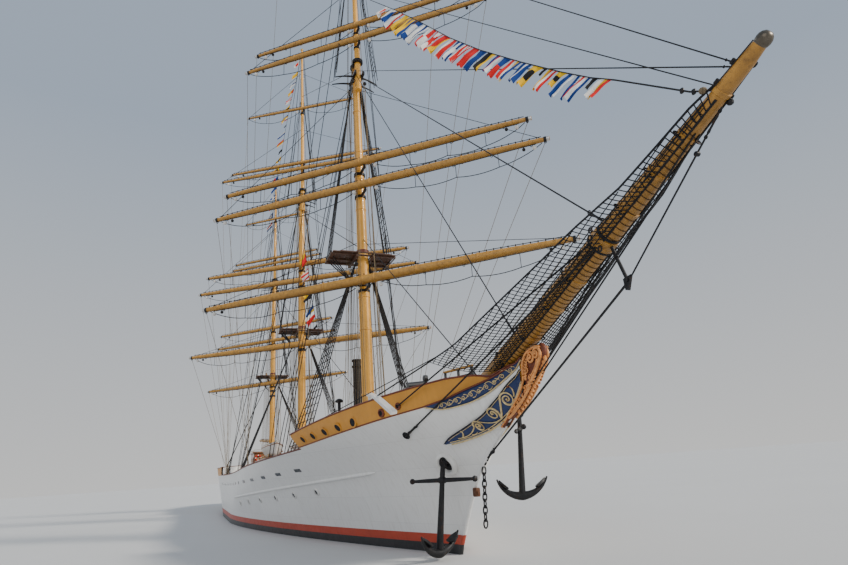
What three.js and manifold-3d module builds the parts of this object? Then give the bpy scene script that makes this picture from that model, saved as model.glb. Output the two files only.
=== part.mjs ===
// Three-masted full-rigged ship, 1:10. Sizes are in metres of the real ship, times S for the part's
// millimetres. +X is the bow, +Y port, +Z up; the origin is on the waterline amidships.
import * as THREE from "three";
import Module from "manifold-3d";
import { mergeVertices } from "three/addons/utils/BufferGeometryUtils.js";

const wasm = await Module();
wasm.setup();

const S = 100; // millimetres of the part for one metre of the ship
const GAP = 0.003; // clearance between fitted pieces, in metres of the ship

// Materials
const paint = (color, rough = 0.5, metal = 0) =>
  new THREE.MeshStandardMaterial({ color, roughness: rough, metalness: metal });
const M = {
  white: paint(0xd9dbdc),
  black: paint(0x1b1c1e),
  red: paint(0xb2381f),
  ochre: paint(0xc8964a),
  mast: paint(0xd7a54b),
  yard: paint(0xaa8037),
  deck: paint(0xa98c63, 0.8),
  wood: paint(0x7d4a2a),
  blue: paint(0x1f3a66),
  gold: paint(0xd9b36a, 0.35, 0.6),
  steel: paint(0x8d9196, 0.4, 0.9),
  canvas: paint(0xcdbf9f, 0.9),
};

// Hull form
const BEAM = 5.98; // half the breadth
const KEEL_Z = -5.0;
const BOOT_LOW = 0.33,
  BOOT_TOP = 0.65;
const BREAK_FORE = 25.9; // after end of the forecastle
const BREAK_AFT = -14.0; // fore end of the poop
const EDGE = 0.07; // half thickness of the stem bar and the stern
const STEM = [[-5, 30.4], [-4.4, 31.3], [-3, 32.0], [-1.5, 32.3], [0, 32.51], [0.65, 32.9], [1.78, 33.73],
  [2.55, 34.39], [3.0, 35.0], [3.58, 35.83], [4.27, 37.0], [4.7, 37.5], [5.6, 37.9], [7, 38.2]];
const STERN = [[-5, -31.0], [-0.75, -31.3], [-0.35, -31.6], [0.33, -32.6], [0.65, -33.1], [1.6, -34.7],
  [2.6, -36.2], [3.6, -37.0], [4.6, -37.3], [7, -37.6]];
const ramp = (table, v) => {
  let i = 1;
  while (i < table.length - 1 && v > table[i][0]) i++;
  const [a, b] = [table[i - 1], table[i]];
  const t = Math.min(1, Math.max(0, (v - a[0]) / (b[0] - a[0])));
  return a[1] + t * (b[1] - a[1]);
};
const mix = (a, b, t) => a + t * (b - a);
const stemX = (z) => ramp(STEM, z);
const sternX = (z) => ramp(STERN, z);
const halfBreadth = (x, z) => {
  const up = Math.min(1, Math.max(0, z / 4.7)) ** 1.4,
    down = Math.min(1, Math.max(0, -z / 5));
  const side = z < 0 ? BEAM * Math.sqrt(Math.max(0, 1 - (0.985 * down) ** 5)) : BEAM;
  const fore = stemX(z) - x,
    aft = x - sternX(z);
  const lf = z > 0 ? mix(28.9, 20, up) : mix(28.9, 31, down),
    nf = z > 0 ? mix(1.6, 2, up) : mix(1.6, 1.3, down);
  const la = z > 0 ? mix(26, 13, up) : mix(26, 31, down),
    na = z > 0 ? mix(1.7, 2.6, up) : mix(1.7, 1.15, down);
  const f = 1 - Math.max(0, 1 - Math.max(0, fore) / lf) ** nf,
    a = 1 - Math.max(0, 1 - Math.max(0, aft) / la) ** na;
  return Math.max(EDGE, side * f * a);
};

// Sheer lines of the decks and rails
const wellDeckZ = (x) => 2.45 + 0.00085 * (x < 0 ? 0.8 : 1) * x * x;
const foreDeckZ = (x) => 4.06 + 0.75 * ((x - BREAK_FORE) / 9) ** 1.1;
const foreRailZ = (x) => 4.75 + 0.95 * (1 - (1 - Math.min(1, Math.max(0, x - BREAK_FORE) / 11)) ** 1.5);
const wellRailZ = (x) => wellDeckZ(x) + 1.1;
const poopDeckZ = (x) => 3.65 + 0.0013 * (x - BREAK_AFT) ** 2;
const poopRailZ = (x) => poopDeckZ(x) + 0.85;
const foreDeck = (x) => foreDeckZ(Math.max(BREAK_FORE, x));

// A solid from a triangle list in metres
const solid = (pts, tris) => {
  const g = new THREE.BufferGeometry();
  g.setAttribute("position", new THREE.Float32BufferAttribute(pts.flat(), 3));
  g.setIndex(tris.flat());
  return fromGeometry(g);
};
function fromGeometry(geometry) {
  const g = geometry.clone();
  g.deleteAttribute("normal");
  g.deleteAttribute("uv");
  const m = mergeVertices(g, 1e-4);
  const made = new wasm.Manifold(
    new wasm.Mesh({
      numProp: 3,
      vertProperties: new Float32Array(m.attributes.position.array),
      triVerts: new Uint32Array(m.index.array),
    }),
  );
  return made;
}

// A slice of the hull between two sheer lines, from x0 to x1, each ring a closed loop round the hull
function hullSlice({ x0 = -99, x1 = 99, low, high, inset = 0, levels = 2, steps = 24, at: shares = null }) {
  const at = (v) => (x) => mix(low(x), high(x), v);
  const rings = [];
  if (shares) levels = shares.length;
  for (let k = 0; k < levels; k++) {
    const zOf = at(shares ? shares[k] : k / (levels - 1));
    let a = x0,
      b = x1;
    for (let i = 0; i < 12; i++) {
      const na = Math.max(x0, sternX(zOf(Math.max(a, -38))) + inset);
      const nb = Math.min(x1, stemX(zOf(Math.min(b, 38))) - inset * 1.6);
      a = na;
      b = nb;
    }
    const star = [],
      port = [];
    for (let i = 0; i <= steps; i++) {
      const s = i / steps,
        x = mix(a, b, 0.5 - 0.5 * Math.cos(Math.PI * s) * 0.86 - 0.5 * (1 - 2 * s) * 0.14 + 0),
        y = Math.max(EDGE * 0.6, halfBreadth(x, zOf(x)) - inset);
      star.push([x, -y, zOf(x)]);
      port.push([x, y, zOf(x)]);
    }
    rings.push([...star, ...port.reverse()]);
  }
  const n = rings[0].length,
    pts = rings.flat(),
    tris = [];
  for (let k = 0; k < levels - 1; k++)
    for (let i = 0; i < n; i++) {
      const j = (i + 1) % n,
        a = k * n;
      tris.push([a + i, a + j, a + n + j], [a + i, a + n + j, a + n + i]);
    }
  for (let i = 0; i < steps; i++) {
    const [p, q, r, s] = [i, i + 1, n - 2 - i, n - 1 - i],
      top = (levels - 1) * n;
    tris.push([p, r, q], [p, s, r], [top + p, top + q, top + r], [top + p, top + r, top + s]);
  }
  return solid(pts, tris);
}

const box = (x0, x1, y0, y1, z0, z1) => {
  const g = new THREE.BoxGeometry(x1 - x0, y1 - y0, z1 - z0);
  g.translate((x0 + x1) / 2, (y0 + y1) / 2, (z0 + z1) / 2);
  return fromGeometry(g);
};

// A round bar along a line of points, each with its own radius
function bar(stations, sides = 12, flat = 1) {
  const ptsOf = stations.map(([p]) => new THREE.Vector3(...p));
  const dir = ptsOf[ptsOf.length - 1].clone().sub(ptsOf[0]).normalize();
  const ref = Math.abs(dir.z) > 0.9 ? new THREE.Vector3(1, 0, 0) : new THREE.Vector3(0, 0, 1);
  const u = ref.clone().cross(dir).normalize(),
    w = dir.clone().cross(u);
  const pts = [],
    tris = [];
  stations.forEach(([, r], k) => {
    for (let i = 0; i < sides; i++) {
      const a = ((i + 0.5) * 2 * Math.PI) / sides;
      const p = ptsOf[k].clone().addScaledVector(u, r * Math.cos(a)).addScaledVector(w, r * flat * Math.sin(a));
      pts.push([p.x, p.y, p.z]);
    }
  });
  for (let k = 0; k < stations.length - 1; k++)
    for (let i = 0; i < sides; i++) {
      const j = (i + 1) % sides,
        a = k * sides;
      tris.push([a + i, a + j, a + sides + j], [a + i, a + sides + j, a + sides + i]);
    }
  const top = (stations.length - 1) * sides;
  for (let i = 1; i < sides - 1; i++) tris.push([0, i + 1, i], [top, top + i, top + i + 1]);
  return solid(pts, tris);
}

// An outline in the XZ plane, given thickness across
function plate(outline, y0, y1) {
  const g = new THREE.ExtrudeGeometry(new THREE.Shape(outline.map(([x, z]) => new THREE.Vector2(x, z))), {
    depth: y1 - y0,
    bevelEnabled: false,
  });
  g.rotateX(Math.PI / 2);
  g.translate(0, y1, 0);
  return fromGeometry(g);
}

const union = (...s) => s.reduce((a, b) => a.add(b));
const lift = (s, dz) => s.translate([0, 0, dz]);

const root = new THREE.Group();
root.name = "tall_ship";
const solids = {};
function add(name, s, material) {
  solids[name] = s;
  const m = s.getMesh(),
    pos = new Float32Array(m.numVert * 3);
  for (let i = 0; i < m.numVert; i++)
    for (let k = 0; k < 3; k++) pos[i * 3 + k] = m.vertProperties[i * m.numProp + k] * S;
  const g = new THREE.BufferGeometry();
  g.setAttribute("position", new THREE.BufferAttribute(pos, 3));
  g.setIndex([...m.triVerts]);
  g.computeVertexNormals();
  const mesh = new THREE.Mesh(g, material);
  mesh.name = name;
  root.add(mesh);
}

// Hull
const RUDDER_X = -31.75;
const flat = (z) => () => z;
const UNDER = [KEEL_Z, -4.6, -3.6, -2, -0.75, -0.35, BOOT_LOW].map((z) => (z - KEEL_Z) / (BOOT_LOW - KEEL_Z));
const under = hullSlice({ low: flat(KEEL_Z), high: flat(BOOT_LOW), at: UNDER, steps: 22 });
const LUGS = [-1.5, -3.9]; // heights of the rudder's gudgeons
const lugs = LUGS.map((z) => box(-31.05, RUDDER_X - 0.15, -0.12, 0.12, z - 0.08, z + 0.08));
const lugBore = bar([[[RUDDER_X, 0, -4.4], 0.076], [[RUDDER_X, 0, -1.1], 0.076]], 24);
add("hull_underwater", union(under, ...lugs).subtract(lugBore), M.black);
add("boot_top", hullSlice({ low: flat(BOOT_LOW), high: flat(BOOT_TOP), steps: 22 }), M.red);
add("hull_topsides", hullSlice({ low: flat(BOOT_TOP), high: wellDeckZ, levels: 4, steps: 26 }), M.white);
const above = (fn) => (x) => fn(x) + GAP + 0.004;
const CAPSTAN_X = 29.6;
const spindle = bar([[[CAPSTAN_X, 0, foreDeck(CAPSTAN_X) - 0.2], 0.08], [[CAPSTAN_X, 0, foreDeck(CAPSTAN_X) + 0.6], 0.08]], 12);
add("forecastle", hullSlice({ x0: BREAK_FORE, low: above(wellDeckZ), high: foreDeck, levels: 4, steps: 14 }).add(spindle), M.white);
add("poop", hullSlice({ x1: BREAK_AFT, low: above(wellDeckZ), high: poopDeckZ, levels: 3, steps: 14 }), M.white);

// Bulwarks, each the ring left between the hull's side and its inset
function bulwark(x0, x1, low, high, steps) {
  const outer = hullSlice({ x0, x1, low: above(low), high, levels: 2, steps });
  const inner = hullSlice({ x0: x0 - 1, x1: x1 + 1, low: (x) => low(x) - 0.3, high: (x) => high(x) + 0.3, inset: 0.16, steps });
  return outer.subtract(inner);
}
add("forecastle_bulwark", bulwark(BREAK_FORE, 99, foreDeck, foreRailZ, 14), M.ochre);
const well = bulwark(BREAK_AFT + 0.01, BREAK_FORE - 0.01, wellDeckZ, wellRailZ, 16).decompose();
for (const s of well)
  add(s.boundingBox().max[1] > 0 ? "well_bulwark_port" : "well_bulwark_starboard", s, M.white);
add("poop_bulwark", bulwark(-99, BREAK_AFT, poopDeckZ, poopRailZ, 16), M.ochre);

// Deckhouses stand on the sheer with a fitting gap
function house(name, x0, x1, half, base, top, material, extra = [], hole = null) {
  let s = box(x0, x1, -half, half, base - 0.6, top);
  for (const e of extra) s = s.add(e);
  for (const under of ["hull_topsides", "forecastle", "poop"])
    if (solids[under]) s = s.subtract(lift(solids[under], GAP));
  if (hole) s = s.subtract(hole);
  const parts = s.decompose();
  add(name, parts.sort((a, b) => b.volume() - a.volume())[0], material);
}
house("forward_deckhouse", 12.2, 18.6, 2.6, 2.7, 4.9, M.white, [box(12.0, 18.8, -2.8, 2.8, 4.8, 4.95)]);
house("midship_deckhouse", -12.4, -2.8, 2.5, 2.5, 4.8, M.white, [box(-12.6, -2.6, -2.7, 2.7, 4.7, 4.85)]);
house("chart_house", -28.6, -24.4, 1.7, 3.9, 6.3, M.wood, [box(-28.8, -24.2, -1.9, 1.9, 6.2, 6.34)]);
const FUNNEL = [18.1, 0.42];
const funnelAt = (z, dx = 0) => [FUNNEL[0] + dx, FUNNEL[1], z];
add("galley_funnel", union(
  bar([[funnelAt(4.95 + GAP), 0.27], [funnelAt(9.4), 0.27]], 14),
  bar([[funnelAt(4.95 + GAP), 0.36], [funnelAt(5.2), 0.36]], 14),
  bar([[funnelAt(9.3), 0.34], [funnelAt(9.75), 0.34]], 14)), M.black);

// Masts: foot, rake, heights of the top, the crosstrees and the truck
const MASTS = {
  fore: { x: 21.9, rake: 0.0251, foot: wellDeckZ(21.9), top: 15.4, cross: 28.6, truck: 48.2, r: 0.36 },
  main: { x: 0.76, rake: 0.034, foot: wellDeckZ(0.76), top: 16.1, cross: 29.9, truck: 49.8, r: 0.37 },
  mizzen: { x: -20.3, rake: 0.0514, foot: poopDeckZ(-20.3), top: 15.4, cross: 27.4, truck: 43.8, r: 0.33 },
};
const axisX = (m, z) => m.x - m.rake * z;
const POLE_AHEAD = 0.62; // the topgallant mast stands this far ahead of the pole it is fidded to
const TRUSS = 1.15; // from a mast's axis to the swing axis of its yards
const POLE_TRUSS = 0.68; // the same, from a topgallant mast's axis
// Yards: mast, name, height, length, brace angle in degrees from square, radius at the middle
const YARDS = [
  ["fore", "course", 13.60, 24.0, 42.6, 0.27],
  ["fore", "lower_topsail", 19.90, 22.8, 41.8, 0.25],
  ["fore", "upper_topsail", 21.51, 21.2, 41.6, 0.24],
  ["fore", "lower_topgallant", 31.29, 18.3, 40.4, 0.21],
  ["fore", "upper_topgallant", 32.53, 16.7, 40.2, 0.19],
  ["fore", "royal", 38.9, 13.2, 39.6, 0.15],
  ["main", "course", 14.59, 24.3, 36.6, 0.27],
  ["main", "lower_topsail", 20.93, 22.9, 35.8, 0.25],
  ["main", "upper_topsail", 22.56, 21.3, 35.6, 0.24],
  ["main", "lower_topgallant", 33.34, 19.0, 34.3, 0.19],
  ["main", "upper_topgallant", 34.03, 16.8, 34.2, 0.17],
  ["main", "royal", 40.95, 13.3, 33.6, 0.15],
  ["mizzen", "course", 14.42, 21.4, 45.0, 0.23],
  ["mizzen", "lower_topsail", 19.94, 18.4, 43.2, 0.21],
  ["mizzen", "upper_topsail", 21.65, 17.5, 42.7, 0.2],
  ["mizzen", "lower_topgallant", 30.86, 14.2, 40.6, 0.17],
  ["mizzen", "upper_topgallant", 31.62, 13.2, 40.5, 0.16],
  ["mizzen", "royal", 37.70, 10.3, 39.9, 0.13],
];
const PIN = 0.07; // radius of the pivot pins, and the bores run on them with a small clearance
const BORE = 0.076;
// How far ahead of its mast's axis a yard swings: the upper ones swing ahead of the topgallant mast
const poleAhead = (m, z) => (z > m.cross ? POLE_AHEAD * mix(1, 0.6, (z - m.cross) / (m.truck - m.cross)) : 0);
const swingX = (m, z) => axisX(m, z) + (z > m.cross ? poleAhead(m, z) + POLE_TRUSS : TRUSS);
// A bracket under the yard with the pin that the yard turns on
function truss(m, z, r) {
  const zb = z - r - 0.17,
    cx = swingX(m, z),
    from = axisX(m, zb) + poleAhead(m, z);
  return union(bar([[[from, 0, zb], 0.09], [[cx + 0.02, 0, zb], 0.09]], 8), bar([[[cx, 0, zb - 0.1], PIN], [[cx, 0, z - 0.03], PIN]], 12));
}
const NECK = 0.65; // from the mizzen's axis back to the boom's and gaff's pins
const BOOM_Z = 7.4,
  GAFF_Z = 13.2;
function gooseneck(m, z, r) {
  const zb = z - r - 0.17;
  return union(bar([[[axisX(m, zb), 0, zb], 0.09], [[axisX(m, zb) - NECK - 0.02, 0, zb], 0.09]], 8),
    bar([[[axisX(m, zb - 0.1) - NECK, 0, zb - 0.1], PIN], [[axisX(m, z - 0.03) - NECK, 0, z - 0.03], PIN]], 12));
}
for (const [key, m] of Object.entries(MASTS)) {
  const on = (z, dx = 0) => [axisX(m, z) + dx, 0, z];
  const lower = bar([[on(m.foot + 0.001), m.r], [on(m.top), m.r * 0.92], [on(m.cross + 1.3), m.r * 0.62]], 14);
  const heel = m.cross - 1.2;
  const upper = bar([[on(heel, POLE_AHEAD), 0.2], [on(m.cross + 1.5, POLE_AHEAD), 0.2],
    [on(m.truck - 0.25, POLE_AHEAD * 0.6), 0.09], [on(m.truck - 0.2, POLE_AHEAD * 0.6), 0.17], [on(m.truck, POLE_AHEAD * 0.6), 0.12]], 12);
  const tx = axisX(m, m.top),
    cx = axisX(m, m.cross);
  const top = box(tx - 1.5, tx + 0.75, -2.0, 2.0, m.top - 0.08, m.top + 0.08);
  const trestle = box(cx - 0.5, cx + 1.05, -0.35, 0.35, m.cross - 0.1, m.cross + 0.1);
  const spread = [-0.35, 0.45].map((d) => box(cx + d - 0.08, cx + d + 0.08, -1.5, 1.5, m.cross - 0.08, m.cross + 0.08));
  const cap = box(cx - 0.3, cx + 0.95, -0.3, 0.3, m.cross + 1.0, m.cross + 1.22);
  const level = m.foot - 0.5;
  const trusses = YARDS.filter(([k]) => k === key).map(([, , z, , , r]) => truss(m, z, r));
  const necks = key === "mizzen" ? [gooseneck(m, BOOM_Z, 0.2), gooseneck(m, GAFF_Z, 0.15)] : [];
  let s = union(lower, upper, top, trestle, ...spread, cap, ...trusses, ...necks);
  s = s.subtract(box(m.x - 3, m.x + 3, -3, 3, level - 4, level));
  for (const u of ["hull_topsides", "poop"]) s = s.subtract(lift(solids[u], GAP));
  add(key + "mast", s, M.mast);
}

for (const [mast, name, z, length, brace, r] of YARDS) {
  const m = MASTS[mast];
  const cx = swingX(m, z);
  const a = (brace * Math.PI) / 180;
  const arm = (t) => [cx + Math.sin(a) * t, Math.cos(a) * t, z]; // the port arm points ahead
  const h = length / 2;
  const taper = [[-1, 0.5], [-0.6, 0.9], [0, 1], [0.6, 0.9], [1, 0.5]]; // share of the half length, of the radius
  const stick = bar(taper.map(([t, k]) => [arm(h * t), r * k]), 12);
  const bore = bar([[[cx, 0, z - r - 0.2], BORE], [[cx, 0, z + 0.02], BORE]], 16);
  add(`${mast}_${name}_yard`, stick.subtract(bore), M.yard);
}

// Bowsprit, figurehead and head gear
const SPRIT = { x0: 35.6, z0: 5.42, x1: 47.05, z1: 9.67 };
const spritZ = (x) => mix(SPRIT.z0, SPRIT.z1, (x - SPRIT.x0) / (SPRIT.x1 - SPRIT.x0));
const spritAt = (x, dz = 0) => [x, 0, spritZ(x) + dz];
const sprit = union(
  bar([[spritAt(33.9), 0.36], [spritAt(37.5), 0.36], [spritAt(42.2), 0.29], [spritAt(43.8), 0.22], [spritAt(45.8), 0.16],
    [spritAt(47.0), 0.13]], 14),
  bar([[spritAt(42.0), 0.34], [spritAt(42.35), 0.33]], 14),
  bar([[spritAt(45.9), 0.2], [spritAt(46.15), 0.2]], 14),
  bar([[46.8, 0.08], [46.86, 0.13], [46.96, 0.165], [47.06, 0.13], [47.12, 0.08]].map(([x, r]) => [spritAt(x), r]), 14),
);
const cutters = ["hull_topsides", "forecastle", "forecastle_bulwark"];
const trim = (s, names) => names.reduce((r, n) => r.subtract(solids[n]), s);
const grown = (s, g = 0.006) =>
  union(s.translate([g, 0, 0]), s.translate([-g, 0, 0]), s.translate([0, g, 0]), s.translate([0, -g, 0]), s.translate([0, 0, g]), s.translate([0, 0, -g]));
// The bulwark is notched for the bowsprit
{
  const notch = bar([[spritAt(33.5), 0.37], [spritAt(40), 0.37]], 14);
  const cutBulwark = solids.forecastle_bulwark.subtract(notch);
  const piece = cutBulwark.decompose().sort((a, b) => b.volume() - a.volume())[0];
  root.remove(root.getObjectByName("forecastle_bulwark"));
  add("forecastle_bulwark", piece, M.ochre);
}
add("bowsprit", sprit.subtract(grown(solids.forecastle)), M.mast);
const SCROLL = [[36.9, 4.3], [37.6, 4.52], [38.25, 4.86], [38.85, 5.26], [39.3, 5.6], [39.42, 5.9], [39.25, 6.08],
  [38.8, 6.05], [38.3, 5.92], [37.9, 5.75], [37.6, 5.3], [37.3, 4.8]];
add("figurehead", trim(plate(SCROLL, -0.28, 0.28), []).subtract(grown(union(solids.forecastle, solids.forecastle_bulwark)))
  .subtract(grown(solids.bowsprit)).decompose().sort((a, b) => b.volume() - a.volume())[0], M.gold);


// Trailboards, proud of the bow on each side
{
  const lo = (x) => ramp([[34.1, 3.74], [34.74, 3.74], [35.56, 3.88], [36.31, 4.06], [37.15, 4.42], [37.8, 5.0]], x),
    hi = (x) => ramp([[34.1, 3.77], [35.24, 4.11], [36.3, 4.5], [37.17, 4.98], [37.81, 5.42]], x);
  const skin = hullSlice({ x0: 34.2, x1: 37.5, low: lo, high: hi, inset: -0.07, steps: 12 });
  const body = union(hullSlice({ x0: 30, low: flat(BOOT_TOP), high: foreDeck, levels: 8, inset: -GAP, steps: 20 }));
  const parts = skin.subtract(body).subtract(grown(union(solids.forecastle, solids.hull_topsides, solids.forecastle_bulwark)))
    .subtract(grown(solids.figurehead))
    .subtract(box(30, 40, -0.14, 0.14, 2, 6)).decompose().filter((p) => p.volume() > 0.005);
  for (const p of parts) add(p.boundingBox().max[1] > 0.2 ? "trailboard_port" : "trailboard_starboard", p, M.blue);
}

// Anchors: ring and crown positions, the way the stock points in plan, and the chain's inboard end
const ANCHORS = {
  starboard: { ring: [33.85, -1.04, 3.0], crown: [33.25, -1.12, 0.24], stockDir: [0.9, 0.43], inboard: [33.2, -0.5, 3.0] },
  port: { ring: [33.15, 2.6, 4.6], crown: [33.15, 2.34, 1.75], stockDir: [0.9, -0.43], inboard: [33.18, 2.66, 5.62] },
};
const STOCK = 2.8,
  ARM = 1.0; // radius of the curve of the arms
const biggest = (s) => s.decompose().sort((p, q) => q.volume() - p.volume())[0];
const bow = grown(union(solids.hull_topsides, solids.forecastle, solids.forecastle_bulwark, solids.boot_top));
{
  // the port cathead carries its anchor, the starboard davit is swung in over the rail
  const port = union(bar([[[32.6, 1.0, 5.62], 0.13], [[33.25, 2.85, 5.7], 0.13]], 10), bar([[[32.7, 1.25, 4.4], 0.13], [[32.7, 1.25, 5.7], 0.13]], 10));
  add("cathead_port", biggest(port.subtract(bow)), M.white);
  const star = union(bar([[[31.0, -2.62, 4.4], 0.12], [[31.0, -2.62, 5.75], 0.12]], 10),
    bar([[[30.6, -2.58, 5.85], 0.12], [[32.35, -2.86, 5.53], 0.12], [[34.9, -3.05, 4.66], 0.12]], 10));
  add("cathead_starboard", biggest(star.subtract(bow)), M.white);
}
// A flat three-cornered plate, from one face and the way to the other
function wedge(face, shift) {
  const v = (p) => new THREE.Vector3(...p);
  const [p, q, r] = face.map(v),
    away = q.clone().sub(p).cross(r.clone().sub(p)).dot(v(shift)) > 0;
  const pts = [...face, ...face.map((c) => c.map((n, i) => n + shift[i]))];
  const tris = [[0, 2, 1], [3, 4, 5], [0, 1, 4], [0, 4, 3], [1, 2, 5], [1, 5, 4], [2, 0, 3], [2, 3, 5]];
  return solid(pts, away ? tris : tris.map(([i, j, k]) => [i, k, j]));
}
for (const [side, { ring, crown, stockDir, inboard }] of Object.entries(ANCHORS)) {
  const [tx, ty] = stockDir;
  const along = ring.map((c, i) => c - crown[i]),
    length = Math.hypot(...along),
    up = along.map((c) => c / length);
  // a point of the anchor: across in the plane of the arms, height above the crown, along the stock
  const spot = (t, h, w = 0) => [crown[0] + ty * t + up[0] * h + tx * w, crown[1] - tx * t + up[1] * h + ty * w, crown[2] + up[2] * h];
  const curve = (a, lift = 0) => spot((ARM - lift) * Math.sin(a), ARM - (ARM - lift) * Math.cos(a));
  const REACH = 1.18; // radians from the crown to a bill
  const arms = [];
  for (let i = 0; i < 10; i++) {
    const [a, b] = [i, i + 1].map((k) => mix(-REACH, REACH, k / 10));
    const thick = (c) => mix(0.15, 0.03, Math.abs(c) / REACH);
    arms.push(bar([[curve(a), thick(a)], [curve(b), thick(b)]], 8));
  }
  const palms = [-1, 1].map((k) => {
    const foot = [-0.2, 0.2].map((w) => curve(k * 0.62, 0.1).map((c, i) => c + [tx, ty, 0][i] * w));
    const face = [curve(k * 1.08, 0.03), ...foot];
    const inward = curve(k * 0.8, 0.07).map((c, i) => c - curve(k * 0.8)[i]);
    return wedge(face, inward);
  });
  let a = union(
    bar([[spot(0, length + 0.14), 0.07], [spot(0, length - 0.3), 0.09], [spot(0, 0), 0.12]], 10),
    bar([[spot(0, length - 0.5, -STOCK / 2), 0.05], [spot(0, length - 0.5), 0.075], [spot(0, length - 0.5, STOCK / 2), 0.05]], 8),
    ...arms, ...palms,
    bar([[spot(0, length + 0.06), 0.07], [inboard, 0.07]], 8),
  );
  a = a.subtract(bow).subtract(grown(union(solids["trailboard_" + side], solids["cathead_" + side])));
  add("anchor_" + side, biggest(a), M.black);
}

// Capstan on the forecastle
{
  const x = CAPSTAN_X,
    z = foreDeck(x) + 0.07;
  const bore = bar([[[x, 0, z - 0.2], 0.086], [[x, 0, z + 0.62], 0.086]], 16);
  add("capstan", union(
    bar([[[x, 0, z], 0.5], [[x, 0, z + 0.12], 0.5]], 16),
    bar([[[x, 0, z + 0.1], 0.42], [[x, 0, z + 0.45], 0.28], [[x, 0, z + 0.8], 0.36]], 16),
    bar([[[x, 0, z + 0.78], 0.48], [[x, 0, z + 1.05], 0.44]], 16)).subtract(bore), M.steel);
}

// Steering gear
const HELM = { x: -31.2, z: poopDeckZ(-31.2), r: 0.72, up: 1.25 };
house("helm_box", HELM.x + 0.35, HELM.x + 1.35, 0.35, HELM.z, HELM.z + 1.4, M.wood,
  [bar([[[HELM.x + 0.2, 0, HELM.z + HELM.up - 0.15], 0.14], [[HELM.x + 0.6, 0, HELM.z + HELM.up - 0.15], 0.14]], 12)],
  bar([[[HELM.x, 0, HELM.z + HELM.up - 0.15], 0.056], [[HELM.x + 0.55, 0, HELM.z + HELM.up - 0.15], 0.056]], 16));
{
  const c = [HELM.x + 0.02, 0, HELM.z + HELM.up - 0.15];
  const rim = new THREE.TorusGeometry(HELM.r * 0.72, 0.05, 6, 20);
  rim.rotateY(Math.PI / 2);
  rim.translate(...c);
  const spokes = [0, 1, 2, 3].map((i) => {
    const a = (i * Math.PI) / 4;
    const d = [0, Math.cos(a) * HELM.r, Math.sin(a) * HELM.r];
    return bar([[[c[0], c[1] - d[1], c[2] - d[2]], 0.035], [[c[0], c[1] + d[1], c[2] + d[2]], 0.035]], 8);
  });
  const hub = bar([[[c[0] - 0.1, 0, c[2]], 0.14], [[c[0] + 0.1, 0, c[2]], 0.14]], 14);
  const axle = bar([[c, 0.05], [[HELM.x + 0.5, 0, c[2]], 0.05]], 12);
  add("helm_wheel", union(fromGeometry(rim), hub, axle, ...spokes), M.wood);
}
{
  const blade = plate([[RUDDER_X + 0.2, -0.86], [RUDDER_X - 1.0, -0.86], [RUDDER_X - 1.5, -1.6], [RUDDER_X - 1.7, -4.0],
    [RUDDER_X - 1.2, -4.7], [RUDDER_X + 0.2, -4.7]], -0.12, 0.12);
  const notches = LUGS.map((z) => box(RUDDER_X - 0.32, RUDDER_X + 0.4, -0.3, 0.3, z - 0.15, z + 0.15));
  const pintle = bar([[[RUDDER_X, 0, -4.2], PIN], [[RUDDER_X, 0, -1.2], PIN]], 12);
  add("rudder", union(notches.reduce((b, n) => b.subtract(n), blade), pintle), M.black);
}

// Spanker boom and gaff
{
  const m = MASTS.mizzen;
  const spar = (name, z0, x1, z1, r) => {
    const pin = axisX(m, z0) - NECK;
    const stick = bar([[[pin + 0.15, 0, z0], r * 0.85], [[pin - 0.2, 0, z0], r * 0.85], [[(pin + x1) / 2, 0, (z0 + z1) / 2], r], [[x1, 0, z1], r * 0.6]], 12);
    const bore = bar([[[axisX(m, z0 - 0.6) - NECK, 0, z0 - 0.6], BORE], [[axisX(m, z0 + 0.02) - NECK, 0, z0 + 0.02], BORE]], 24);
    add(name, stick.subtract(bore), M.yard);
  };
  spar("spanker_boom", BOOM_Z, -34.0, 8.3, 0.2);
  spar("spanker_gaff", GAFF_Z, -28.8, 17.2, 0.15);
}

// Boats on the midship house
for (const [side, sy] of [["starboard", -1], ["port", 1]]) {
  const y = sy * 1.55,
    z = 4.85 + GAP + 0.1,
    x0 = -11.2,
    x1 = -4.2;
  const rings = [[0, 0.16], [0.35, 0.62], [0.8, 0.92], [0.95, 0.97]];
  const N = 12,
    pts = [],
    tris = [];
  for (const [h, w] of rings) {
    const loop = [];
    for (let i = 0; i <= N; i++) {
      const s = -1 + (2 * i) / N,
        b = Math.max(0.05, w * (1 - Math.abs(s) ** 2.6));
      loop.push([mix(x0, x1, (s * (0.86 + 0.14 * h) + 1) / 2), y - b, z + h + 0.25 * h * s * s]);
    }
    for (let i = N; i >= 0; i--) {
      const p = loop[i];
      loop.push([p[0], 2 * y - p[1], p[2]]);
    }
    pts.push(...loop);
  }
  const n = 2 * (N + 1);
  for (let k = 0; k < rings.length - 1; k++)
    for (let i = 0; i < n; i++) {
      const j = (i + 1) % n,
        a = k * n;
      tris.push([a + i, a + j, a + n + j], [a + i, a + n + j, a + n + i]);
    }
  const top = (rings.length - 1) * n;
  for (let i = 0; i < N; i++) {
    const [p, q, r, t] = [i, i + 1, n - 2 - i, n - 1 - i];
    tris.push([p, r, q], [p, t, r], [top + p, top + q, top + r], [top + p, top + r, top + t]);
  }
  const chocks = [-9.6, -5.8].map((cx) => box(cx - 0.12, cx + 0.12, y - 0.6, y + 0.6, 4.85 + GAP, z + 0.35));
  add("boat_" + side, union(solid(pts, tris), ...chocks), M.white);
}

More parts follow.
